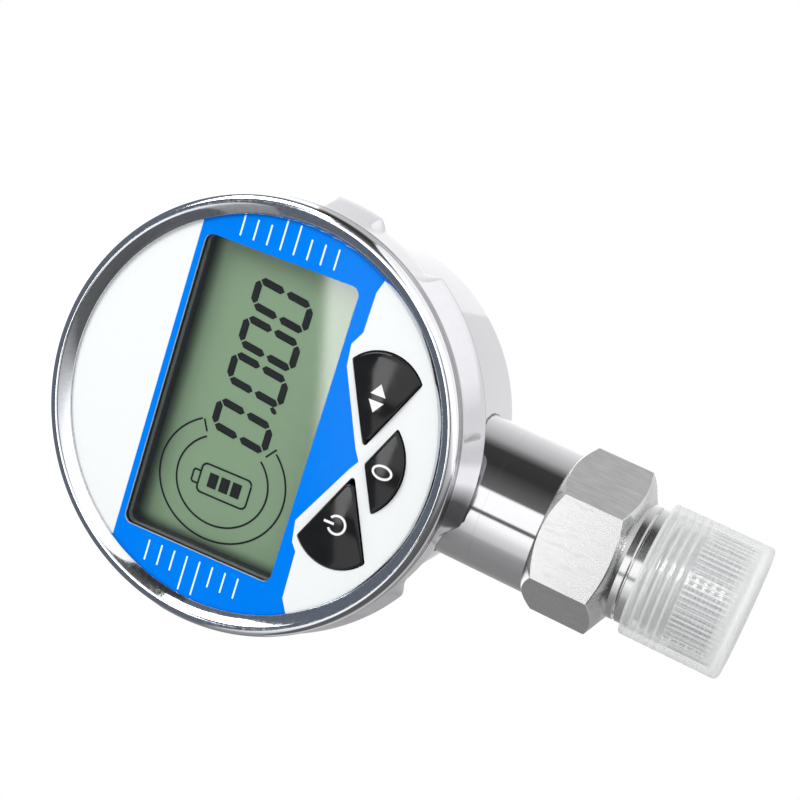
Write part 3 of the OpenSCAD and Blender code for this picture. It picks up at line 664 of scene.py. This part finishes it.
def build_bezel():
    steps = 1080
    angles = [360 * i / steps for i in range(steps)]
    ring = skin([turned_row(bezel_profile(notch_weight(a)), case_point, a) for a in angles])
    points = range(len(bezel_profile(0)))
    # The faces with painted shade take the third material, the darker steel.
    mats = [1 if k < LIP_POINTS else 2 if k in PAINTED_SHADE_POINTS else 0 for k in points] * steps
    sunk = cut = 0.2
    r0, r1 = BEZEL_R - SKIRT_WALL + sunk, BEZEL_R - SKIRT_WALL - LUG_REACH
    z0, z1 = LUG_DEPTH, LUG_DEPTH + LUG_T
    lug = [(r0, z0), (r0, z1), (r1 + cut, z1), (r1, z1 - cut), (r1, z0 + cut), (r1 + cut, z0)]
    lugs = [sector(lug, case_point, middle - LUG_ANGLE / 2, LUG_ANGLE, 24) for middle, _, _ in NOTCHES]
    mats += [0] * sum(len(part[1]) for part in lugs)
    make("bezel", join(ring, *lugs), "bezel", ["bezel_ring"],
         [ring_steel, lip_steel, painted_shade_steel], mats, sharp=40)


build_bezel()


# Case: the cup, its flange, groove and neck


def carve(name, part, steps):
    """A piece that others are joined to or cut from. Each step is a name, an operation and a part."""
    obj = solid(name, part)
    for step, op, other in steps:
        mod = obj.modifiers.new(step, "BOOLEAN")
        mod.operation = op
        mod.object = solid("tool_" + step, other)
        mod.solver = "EXACT"
    tools = [mod.object for mod in obj.modifiers]
    mesh = bpy.data.meshes.new_from_object(obj.evaluated_get(bpy.context.evaluated_depsgraph_get()))
    obj.modifiers.clear()
    obj.data = mesh
    for tool in tools:
        bpy.data.objects.remove(tool)
    return obj


def build_case():
    cup = [(0.0, CASE_DEPTH)]
    cup += [(CUP_R - CUP_ROUND + CUP_ROUND * math.sin(t), CASE_DEPTH - CUP_ROUND + CUP_ROUND * math.cos(t))
            for t in quarter(8)]
    cup += [(CUP_R, CUP_START), (0.0, CUP_START)]
    behind, cut = CUP_START + 0.4, 0.2
    front = [(0.0, FLANGE_FRONT), (FLANGE_R - cut, FLANGE_FRONT), (FLANGE_R, FLANGE_FRONT + cut),
             (FLANGE_R, FLANGE_BACK - cut), (FLANGE_R - cut, FLANGE_BACK), (GROOVE_BEHIND_R, FLANGE_BACK),
             (GROOVE_BEHIND_R, behind), (0.0, behind)]
    # The inside reaches into the front cavity, and its back has a small slope at the rim
    inner_r, slope = CUP_R - CUP_WALL, 0.8
    inside_front, inside_back = FRONT_CAVITY_DEPTH - 0.1, CASE_DEPTH - CASE_FLOOR
    inside = [(0.0, inside_front), (inner_r, inside_front), (inner_r, inside_back - slope),
              (inner_r - slope, inside_back), (0.0, inside_back)]
    neck_top = 68.0
    low, step, bore_top = SEAM_H - 1, SPIGOT_TOP + 0.3, neck_top - 2
    bore = [(0.0, low), (COUNTERBORE_R, low), (COUNTERBORE_R, step), (NECK_BORE_R, step),
            (NECK_BORE_R, bore_top), (0.0, bore_top)]
    slot_in, slot_out = GROOVE_BEHIND_R + 0.1, FLANGE_R + 1.3
    slot_front, slot_back = FLANGE_FRONT - 1, FLANGE_BACK + 0.1
    slot = [(slot_out, slot_front), (slot_out, slot_back), (slot_in, slot_back), (slot_in, slot_front)]
    slots = [sector(slot, case_point, middle - OPEN_TURN - SLOT_ANGLE / 2, SLOT_ANGLE, 16)
             for middle, _, _ in NOTCHES]
    obj = carve("case_shell", lathe(cup, cup_point, 256), (
        ("neck", "UNION", drum(STEM_R, SEAM_H, neck_top, stem_point)),
        ("front", "UNION", lathe(front, case_point, 256)),
        ("inside", "DIFFERENCE", lathe(inside, cup_point)),
        ("mouth", "DIFFERENCE", drum(FRONT_CAVITY_R, FLANGE_FRONT - 1.4, FRONT_CAVITY_DEPTH, case_point)),
        ("bore", "DIFFERENCE", lathe(bore, stem_point, 128)),
        ("slots", "DIFFERENCE", join(*slots)),
    ))
    obj.data.materials.clear()
    obj.data.materials.append(polished)
    clean(obj, 30)
    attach(obj, "case")
    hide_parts("case_body")


def build_weld():
    """Uneven weld where the neck meets the cup, fading out at the front."""
    steps, sink = 192, 0.3
    front, fade_from, fade = CUP_START - SETBACK + 0.2, -12.9, 2.5
    axis = DIAL_H - CUP_SHIFT
    # Distances out from the neck and down from the cup, from a point sunk into both
    bead = ((0.0, 0.0), (0.72, 0.03), (0.52, 0.3), (0.33, 0.52), (0.03, 0.8))
    rows = []
    for i in range(steps):
        a = 2 * math.pi * i / steps
        out = Vector((math.cos(a), math.sin(a), 0))
        x, y = STEM_R * out.x, max(front, STEM_R * out.y)
        z = axis - math.sqrt(CUP_R ** 2 - x * x)
        down = Vector((x, 0, z - axis)).normalized()
        uneven = 0.92 + 0.08 * math.sin(i * 0.83) * math.sin(i * 0.37)
        size = smooth((STEM_R * out.y - fade_from) / fade) * uneven
        root = Vector((x, y, z)) - (out + down) * sink
        rows.append([(root + (out * r + down * d) * size) * MM for r, d in bead])
    make("neck_weld", skin(rows), "case", [], [weld_steel], sharp=60)


build_case()
build_weld()


# Stem tube, with a fine seam at its top


def build_stem():
    fine, cut, spigot_cut = 0.02, 0.15, 0.4
    socket_top = FITTING_SPIGOT_TOP + 0.1
    prof = [(STEM_R - cut, HEX_HIGH), (STEM_R, HEX_HIGH + cut), (STEM_R, SEAM_H - fine),
            (STEM_R - fine, SEAM_H), (STEM_R - 0.1, SEAM_H), (SPIGOT_R, SEAM_H), (SPIGOT_R, SEAL_LOW),
            (SEAL_SEAT_R, SEAL_LOW), (SEAL_SEAT_R, SEAL_HIGH), (SPIGOT_R, SEAL_HIGH),
            (SPIGOT_R, SPIGOT_TOP - spigot_cut), (SPIGOT_R - spigot_cut, SPIGOT_TOP),
            (TUBE_BORE_R, SPIGOT_TOP), (TUBE_BORE_R, socket_top), (COUNTERBORE_R, socket_top),
            (COUNTERBORE_R, HEX_HIGH)]
    make("stem_sleeve", lathe(prof, stem_point), "case", ["stem_tube"], [polished])


build_stem()


# Pressure fitting: hexagon, collar and a real helical thread


def hexagon():
    """Six flats with the corners turned away at both ends."""
    low_slope, high_slope = math.tan(math.radians(HEX_LOW_ANGLE)), math.tan(math.radians(HEX_HIGH_ANGLE))
    rows = []
    for i in range(192):
        turn = 60 * i / 32
        h = HEX_AF / 2 / math.cos(math.radians(turn % 60 - 30))
        rise = (h - HEX_SHOULDER_R) * low_slope
        drop = max(0.0, (h - HEX_FACE_R) * high_slope)
        row = [(COLLAR_R - 0.4, HEX_LOW), (HEX_SHOULDER_R, HEX_LOW), (h - 0.12, HEX_LOW + rise - 0.06),
               (h, HEX_LOW + rise + 0.1), (h, HEX_HIGH - drop - 0.1), (h - 0.08, HEX_HIGH - drop),
               (min(HEX_FACE_R, h - 0.09), HEX_HIGH), (9.5, HEX_HIGH)]
        rows.append(turned_row(row, stem_point, HEX_TURN + turn))
    return skin(rows)


def collar():
    cut, foot_cut = 0.12, 0.25
    low, high = COLLAR_GROOVE_TOP - COLLAR_GROOVE_H, HEX_LOW + 0.3
    prof = [(9.6, high), (COLLAR_R, high), (COLLAR_R, COLLAR_GROOVE_TOP + cut),
            (COLLAR_R - cut, COLLAR_GROOVE_TOP), (COLLAR_GROOVE_R, COLLAR_GROOVE_TOP),
            (COLLAR_GROOVE_R, low), (COLLAR_R - cut, low), (COLLAR_R, low - cut),
            (COLLAR_R, COLLAR_LOW + foot_cut), (COLLAR_R - foot_cut, COLLAR_LOW),
            (RELIEF_R - 0.3, COLLAR_LOW)]
    return lathe(prof, stem_point, 144)


def thread():
    """Helical thread up to its relief, and the end face round the port."""
    depth, crest, flank = 0.92, 0.1, 0.78
    top, fade = COLLAR_LOW + 0.05, 0.5
    steps, rows_per_turn = 108, 12
    count = int(round(top / THREAD_PITCH * rows_per_turn))

    def ring_of(radii, z):
        return [turned_row([(r, z)], stem_point, 360 * s / steps)[0] for s, r in enumerate(radii)]

    rows = [ring_of([PORT_R] * steps, 0.0)]
    for r in range(count + 1):
        z = top * r / count
        run_out = smooth((z - (COLLAR_LOW - RELIEF_H - fade)) / fade)
        radii = []
        for s in range(steps):
            wave = 1 - abs(2 * ((z / THREAD_PITCH - s / steps) % 1.0) - 1)
            cut = depth * max(0.0, min(1.0, (wave - crest) / flank))
            rad = min(THREAD_R - cut, THREAD_R - THREAD_CHAMFER + z)
            radii.append(rad * (1 - run_out) + RELIEF_R * run_out)
        rows.append(ring_of(radii, z))
    return skin(rows, ring=False)


def build_fitting():
    low, top, cut = HEX_HIGH - 0.2, FITTING_SPIGOT_TOP, 0.2
    spigot = lathe([(SOCKET_R, top - 0.9), (SOCKET_R, top), (SPIGOT_R - cut, top), (SPIGOT_R, top - cut),
                    (SPIGOT_R, low), (SOCKET_R, low)], stem_point, 96)
    # Lining of the port and the socket. Its outer side lies hidden in the metal.
    lining_top, hidden_r, hidden_low, narrow_r, narrow_top = 36.2, 9.0, 20.2, 3.2, 14.0
    lining = lathe([(PORT_R, 0.05), (PORT_R, SOCKET_FLOOR), (SOCKET_R, SOCKET_FLOOR), (SOCKET_R, lining_top),
                    (hidden_r, lining_top), (hidden_r, hidden_low), (narrow_r, narrow_top), (narrow_r, 0.3)],
                   stem_point, 96)
    hexa, rest = hexagon(), [collar(), spigot, lining, thread()]
    mats = [1] * len(hexa[1]) + [0] * sum(len(part[1]) for part in rest)
    make("fitting", join(hexa, *rest), "case", ["pressure_fitting"], [turned, brushed],
         mats, sharp=28)


build_fitting()


# Cap, with fine ribs inside its closed half


def build_cap():
    low, cut = -CAP_CLEAR - CAP_END_T, 0.2
    bore = CAP_R - CAP_WALL
    outer = [(0.0, low), (CAP_R - CAP_ROUND, low)]
    outer += [(CAP_R - CAP_ROUND + CAP_ROUND * math.sin(t), low + CAP_ROUND - CAP_ROUND * math.cos(t))
              for t in quarter(8)[1:]]
    outer += [(CAP_R, z) for z in (4.0, 10.0, CAP_MOUTH - cut)]
    outer += [(CAP_R - cut, CAP_MOUTH), (bore + cut, CAP_MOUTH), (bore, CAP_MOUTH - cut)]
    ribs, steps_per_rib, rib_h = 108, 6, 0.22
    rib_top, rib_fade = 7.4, 0.4
    heights = (12.0, 8.0, rib_top, rib_top - rib_fade, 3.5, 0.4, 0.0, -CAP_CLEAR)
    steps = ribs * steps_per_rib
    rows = []
    for i in range(steps):
        wave = rib_h * (0.5 - 0.5 * math.cos(2 * math.pi * i / steps_per_rib)) ** 2
        inner = [(bore - wave * smooth((rib_top - z) / rib_fade), z) for z in heights]
        rows.append(turned_row(outer + inner + [(0.0, -CAP_CLEAR)], stem_point, 360 * i / steps))
    make("cap", skin(rows, closed=False), "cap", ["thread_cap"], [cap_mat], sharp=40)


build_cap()


# Face: the printed film

# Lower edge of the blue field, from right to left, and the slopes that carry it on to the rim
FIELD_EDGE = [(30.3, -16.3), (28.0, -15.5), (20.9, -15.4), (18.4, -14.0), (14.6, -14.4), (1.9, -20.3),
              (0.0, -21.5), (-1.9, -20.3), (-13.8, -13.9), (-17.6, -14.5), (-19.0, -15.6), (-27.7, -15.9),
              (-29.9, -17.2)]
FIELD_TOP, FIELD_RIGHT_SLOPE, FIELD_LEFT_SLOPE = 18.26, 0.35, 0.6
TICKS, TICK_TOP, TICK_STEP, TICK_HALF, LONG_TICKS = 8, 11.0, 2.586, 0.15, (3, 4)


def build_film():
    rim = oval(0.0, 0.0, PLATE_R, PLATE_R, 0.0, 360.0, 192)[:-1]
    keys = [side_key_outline(1, 0.0), side_key_outline(-1, 0.0)[::-1], low_key_outline(0.0)]
    window = window_outline()[::-1]
    holes = [window] + [rounded(key, 0.5, 4) for key in keys]
    make("face_film", plate(rim, holes, 0.0, FILM_T), "case", ["face_overlay"], [film_white],
         sharp=30)
    # The printed blue field and its ticks stand a hair in front of the white
    reach = PLATE_R + 3.6
    (x0, y0), (x1, y1) = FIELD_EDGE[0], FIELD_EDGE[-1]
    right = (reach, y0 - (reach - x0) * FIELD_RIGHT_SLOPE)
    left = (-reach, y1 - (reach + x1) * FIELD_LEFT_SLOPE)
    outline = [(reach, FIELD_TOP), (-reach, FIELD_TOP), left] + FIELD_EDGE[::-1] + [right]
    field = plate(clip_circle(outline, FACE_R + 0.9), [window], -0.02, -0.003)
    make("face_field", field, "case", [], [film_blue])
    ticks = []
    for k in range(TICKS):
        v = TICK_TOP - TICK_STEP * k
        for u0, short, long in ((29.0, 32.6, 34.2), (-27.7, -31.5, -34.1)):
            u1 = long if k in LONG_TICKS else short
            ticks.append(slab(box_outline(u0, v - TICK_HALF, u1, v + TICK_HALF), -0.035, -0.005))
    make("face_ticks", join(*ticks), "case", [], [film_tick])


build_film()


# Face: the pane and the display

LINE = 0.36  # width of the arcs and of the battery sign
DIGIT_W, DIGIT_H, DIGIT_T, DIGIT_LEAN = 4.6, 10.5, 1.38, 0.13
DIGITS = ((-3.3, 2.55), (5.45, 2.3), (12.25, 2.15), (19.3, 1.95))
POINT = [(0.7, -2.6), (1.1, -3.0), (1.7, -2.5), (1.9, -1.9), (1.5, -1.5), (0.9, -2.0)]


def build_pane():
    """A plate that fills the film's window, with a wider step behind the film."""
    gap, flange, step, back = 0.05, 0.65, 0.45, 1.4
    inner, outer = window_outline(-gap), window_outline(flange)
    part = join(tri_fill(inner, [], 0.0), wall(inner, 0.0, step), tri_fill(outer, [inner[::-1]], step),
                wall(outer, step, back), tri_fill(outer, [], back))
    make("window_pane", part, "case", ["window_lens"], [pane])


def zero_segments(cx, cy):
    """The six segments of a leaning zero, each a list of points."""
    hw, hh = DIGIT_W / 2, DIGIT_H / 2
    corners = [(-hw, hh), (hw, hh), (hw, 0.0), (hw, -hh), (-hw, -hh), (-hw, 0.0)]
    out = []
    for p, q in zip(corners, corners[1:] + corners[:1]):
        p, q = Vector(p), Vector(q)
        d = (q - p).normalized()
        side = Vector((-d.y, d.x)) * DIGIT_T / 2
        half = d * DIGIT_T / 2
        p, q = p + d * DIGIT_T * 0.14, q - d * DIGIT_T * 0.14
        pts = [p, p + half - side, q - half - side, q, q - half + side, p + half + side]
        out.append([(cx + a.x + DIGIT_LEAN * a.y, cy + a.y) for a in pts])
    return out


def arc_shapes():
    """Gauge arc with its two end ticks, and the arc inside it."""
    return (stroke(oval(-14.0, 3.2, 11.2, 12.4, 34.5, 317.0), LINE)
            + stroke([(-4.75, 9.7), (-6.6, 8.65)], LINE) + stroke([(-5.05, -4.95), (-6.85, -3.5)], LINE)
            + stroke(oval(-14.2, 3.15, 8.2, 9.0, 36.0, 318.0), LINE))


def battery_shapes():
    """Outline with a gap in its lower side, the terminal and three bars."""
    low, gap_left, gap_right = -2.5, -15.2, -12.9
    path = rounded(box_outline(-17.5, low, -12.1, 7.5), 1.0)
    start = min(range(len(path)), key=lambda k: (Vector(path[k]) - Vector((gap_right, low))).length)
    shapes = stroke(path[start:] + path[:start] + [(gap_left, low)], LINE)
    terminal = [(-16.2, 7.6), (-16.2, 8.6), (-15.9, 8.9), (-14.1, 8.9), (-13.8, 8.6), (-13.8, 7.6)]
    shapes += stroke(terminal, LINE)
    return shapes + [box_outline(-16.1, v - 0.92, -13.4, v + 0.92) for v in (4.8, 2.45, 0.1)]


def build_display():
    panel = plate(window_outline(0.45), [], GLASS_DEPTH, GLASS_DEPTH + GLASS_T)
    make("display_panel", panel, "case", ["lcd_panel"], [display])
    shapes = [s for place in DIGITS for s in zero_segments(*place)]
    shapes += [POINT] + arc_shapes() + battery_shapes()
    parts = [slab(s, GLASS_DEPTH - 0.03, GLASS_DEPTH - 0.005) for s in shapes]
    make("display_segments", join(*parts), "case", [], [segment])
    # Thin black liner of the window
    outer, inner, front, back = window_outline(0.03), window_outline(0.14), 0.46, GLASS_DEPTH - 0.06
    rows = ((outer, front), (inner, front), (inner, back), (outer, back))
    mask = skin([[face_point(*p, depth) for p in path] for path, depth in rows])
    make("window_mask", mask, "case", [], [segment])


build_pane()
build_display()


# Face: the keys

BALL_R, KEY_BASE, KEY_SPACING = 58.0, 0.45, 0.35


def key_dome(outline, centre):
    """A glossy cap whose top is part of a large ball, with a narrow rounded edge."""
    fine = []
    for p, q in zip(outline, outline[1:] + outline[:1]):
        count = max(1, int(math.dist(p, q) / KEY_SPACING))
        fine += [Vector(p).lerp(Vector(q), k / count) for k in range(count)]
    # Share of the outline, and how far the surface lies below the ball there
    levels = [(1.0, 0.16), (0.992, 0.07), (0.978, 0.015)] + [(0.96 * (1 - k / 12), 0.0) for k in range(12)]
    rows = [[face_point(p.x, p.y, KEY_BASE) for p in fine]]
    for share, drop in levels:
        offsets = [(p - Vector(centre)) * share for p in fine]
        rows.append([face_point(centre[0] + d.x, centre[1] + d.y, d.dot(d) / (2 * BALL_R) + drop - KEY_RISE)
                     for d in offsets])
    verts, faces = skin(rows, ring=False)
    n, last = len(fine), len(verts) - len(fine)
    verts.append(face_point(*centre, -KEY_RISE))
    return verts, faces + [(last + i, last + (i + 1) % n, last + n) for i in range(n)]


def bow(u, v, ru, rv, a0, a1, t=0.42, steps=40):
    """Part of a ring as quads that share their sides."""
    outer, inner = oval(u, v, ru, rv, a0, a1, steps), oval(u, v, ru - t, rv - t, a0, a1, steps)
    return [[inner[k], outer[k], outer[k + 1], inner[k + 1]] for k in range(steps)]


def key_marks(name, u, v):
    """Plain signs: two triangles, a ring for zero, and a circle with a bar for power."""
    if name == "zero_key":
        return bow(u, v, 1.3, 1.9, 0, 360)
    if name == "power_key":
        return bow(u, v, 1.8, 1.8, 125, 415) + [box_outline(u - 0.22, v + 0.5, u + 0.22, v + 2.4)]
    return [[(u + 0.5, v - 1.4), (u + 2.5, v), (u + 0.5, v + 1.4)],
            [(u - 0.5, v - 1.4), (u - 0.5, v + 1.4), (u - 2.5, v)]]


def build_keys():
    for name, body, outline, centre in (
        ("unit_key", "unit_button", side_key_outline(1, KEY_GAP), (11.5, -CROSS_DOWN)),
        ("power_key", "power_button", side_key_outline(-1, KEY_GAP)[::-1], (-11.5, -CROSS_DOWN)),
        ("zero_key", "zero_button", low_key_outline(KEY_GAP), (0.0, -CROSS_DOWN - 4.8)),
    ):
        edge = rounded(outline, 0.9)
        part = join(key_dome(edge, centre), wall(edge, KEY_BASE, KEY_BACK), tri_fill(edge, [], KEY_BACK))
        make(name + "_cap", part, body, [name], [key_black], sharp=50)
        marks = [slab(s, -KEY_RISE - 0.015, -KEY_RISE * 0.8) for s in key_marks(name, *centre)]
        make(name + "_mark", join(*marks), body, [], [key_white])


build_keys()


# Camera, fitted to outlines in the photo, in pixels and metres

PHOTO_WIDTH, FOCAL_LENGTH, SENSOR_MM = 800, 1655.84, 36.0
CAMERA_PLACE = (0.07439, -0.28007, -0.01296)
CAMERA_RIGHT, CAMERA_UP = (0.35229, 0.3373, -0.87299), (0.9097, 0.09573, 0.40409)
CAMERA_BACK = (0.21987, -0.93652, -0.27312)


def build_camera():
    data = bpy.data.cameras.new("camera")
    data.sensor_width = SENSOR_MM
    data.lens = FOCAL_LENGTH / PHOTO_WIDTH * SENSOR_MM
    data.clip_start, data.clip_end = 0.01, 20.0
    obj = bpy.data.objects.new("camera", data)
    scene.collection.objects.link(obj)
    turn = Matrix((CAMERA_RIGHT, CAMERA_UP, CAMERA_BACK)).transposed()
    obj.matrix_world = Matrix.Translation(Vector(CAMERA_PLACE)) @ turn.to_4x4()
    scene.camera = obj


# Floor, world and lamp. Directions are in degrees from +X towards +Y, and brightness 1 is white.

FLOOR_REACH, FLOOR_H = 6.0, -0.11
FLOOR_LEVELS = ((-180, 0.35), (-172, 0.2), (-150, 0.12), (-112, 0.16), (-100, 0.5), (-87, 1.0), (-72, 1.8),
                (-42, 1.8), (-25, 1.3), (0, 1.25), (45, 1.3), (58, 1.2), (68, 0.92), (92, 0.95), (106, 0.6),
                (120, 0.45), (145, 0.55), (155, 0.75), (174, 0.75), (180, 0.35))
PANEL_LEVELS = ((-180, 0.23), (-160, 0.27), (-150, 0.36), (-145, 0.55), (-133, 0.7), (-120, 1.0),
                (-110, 1.05), (-108.5, 0.1), (-104, 0.1), (-102, 1.0), (-72, 1.05), (-69, 0.13), (-50, 0.08),
                (-32, 0.032), (-4, 0.04), (5, 0.17), (15, 0.38), (30, 0.52), (50, 0.66), (80, 0.82),
                (107, 0.9), (110, 0.36), (130, 0.25), (150, 0.21), (180, 0.23))


def floor_material():
    """Pale floor that fades into the white. Shiny metal sees it dark or pale by direction."""
    m, nt, p, out = material("floor_pale")
    grey = colour_mix(nt, noise_of(nt, 30), (0.86, 0.86, 0.86), (0.88, 0.88, 0.88))
    nt.links.new(grey, p.inputs["Base Color"])
    p.inputs["Roughness"].default_value = 0.9
    p.inputs["Specular IOR Level"].default_value = 0.0
    place = coords(nt, "Object")
    reach = vector_maths(nt, "LENGTH", place)
    white = shader(nt, "Emission", Color=(1, 1, 1, 1), Strength=1.0)
    plain = blend_shaders(nt, ramp(nt, reach, 0.35, 0.9), p.outputs[0], white)
    x, y, _ = split_xyz(nt, place)
    around = compass_angle(nt, x, y)
    far_front = maths(nt, "MULTIPLY", ramp(nt, reach, 0.45, 0.95), ramp(nt, around, -72.0, -84.0))
    look = blend_colours(nt, far_front, compass(nt, around, FLOOR_LEVELS), (0.14, 0.145, 0.16))
    shiny = shader(nt, "Emission", Color=look)
    nt.links.new(blend_shaders(nt, light_path(nt, "Is Glossy Ray"), plain, shiny), out.inputs[0])
    return m


def build_floor():
    mesh = bpy.data.meshes.new("floor")
    corners = box_outline(-FLOOR_REACH, -FLOOR_REACH, FLOOR_REACH, FLOOR_REACH)
    mesh.from_pydata([(x, y, FLOOR_H) for x, y in corners], [], [(0, 1, 2, 3)])
    mesh.materials.append(floor_material())
    obj = bpy.data.objects.new("floor", mesh)
    scene.collection.objects.link(obj)


def build_world():
    """Plain light for matt surfaces, a studio of pale and dark panels for shiny ones, white behind."""
    world = bpy.data.worlds.new("world")
    scene.world = world
    world.use_nodes = True
    nt = world.node_tree
    nt.nodes.clear()
    x, y, z = split_xyz(nt, coords(nt, "Generated"))
    around = compass_angle(nt, x, y)
    height = in_degrees(nt, maths(nt, "ARCSINE", z))
    # Above the panels: dark in front, where a window's lower edge runs aslant, and pale behind
    behind = soft_step(nt, maths(nt, "ADD", y, maths(nt, "MULTIPLY", x, 0.3)), 0.05, 0.3)
    above = blend_colours(nt, behind, (0.11, 0.125, 0.15), (1.15, 1.15, 1.16))
    over = maths(nt, "SUBTRACT", height, ramp(nt, around, -120.0, -95.0, 12.6, 21.8))
    look = blend_colours(nt, soft_step(nt, over, -0.3, 0.3), compass(nt, around, PANEL_LEVELS), above)
    # The window itself, the brightest panel
    window = soft_step(nt, around, -108.0, -107.0)
    for source, low, high in ((around, -88.0, -89.0), (over, 0.3, -0.3), (height, 14.0, 15.0)):
        window = maths(nt, "MULTIPLY", window, soft_step(nt, source, low, high))
    look = blend_colours(nt, window, look, (3.5, 3.5, 3.45))
    shiny = shader(nt, "Background", Color=look, Strength=1.45)
    plain = shader(nt, "Background", Color=(0.9, 0.9, 0.9, 1), Strength=0.85)
    white = shader(nt, "Background", Color=(1, 1, 1, 1), Strength=1.0)
    light = blend_shaders(nt, light_path(nt, "Is Glossy Ray"), plain, shiny)
    out = nt.nodes.new("ShaderNodeOutputWorld")
    nt.links.new(blend_shaders(nt, light_path(nt, "Is Camera Ray"), light, white), out.inputs[0])


def build_lamp():
    """One soft lamp, aimed at the middle of the gauge."""
    place, target = Vector((0.35, -0.5, 0.45)), Vector((0, 0, 0.07))
    data = bpy.data.lights.new("key", "AREA")
    data.shape = "RECTANGLE"
    data.size, data.size_y = 0.35, 0.35
    data.energy = 3.1
    obj = bpy.data.objects.new("key", data)
    scene.collection.objects.link(obj)
    obj.location = place
    obj.rotation_mode = "QUATERNION"
    obj.rotation_quaternion = (target - place).to_track_quat("-Z", "Y")


build_camera()
build_floor()
build_world()
build_lamp()

scene.view_settings.view_transform = "Standard"
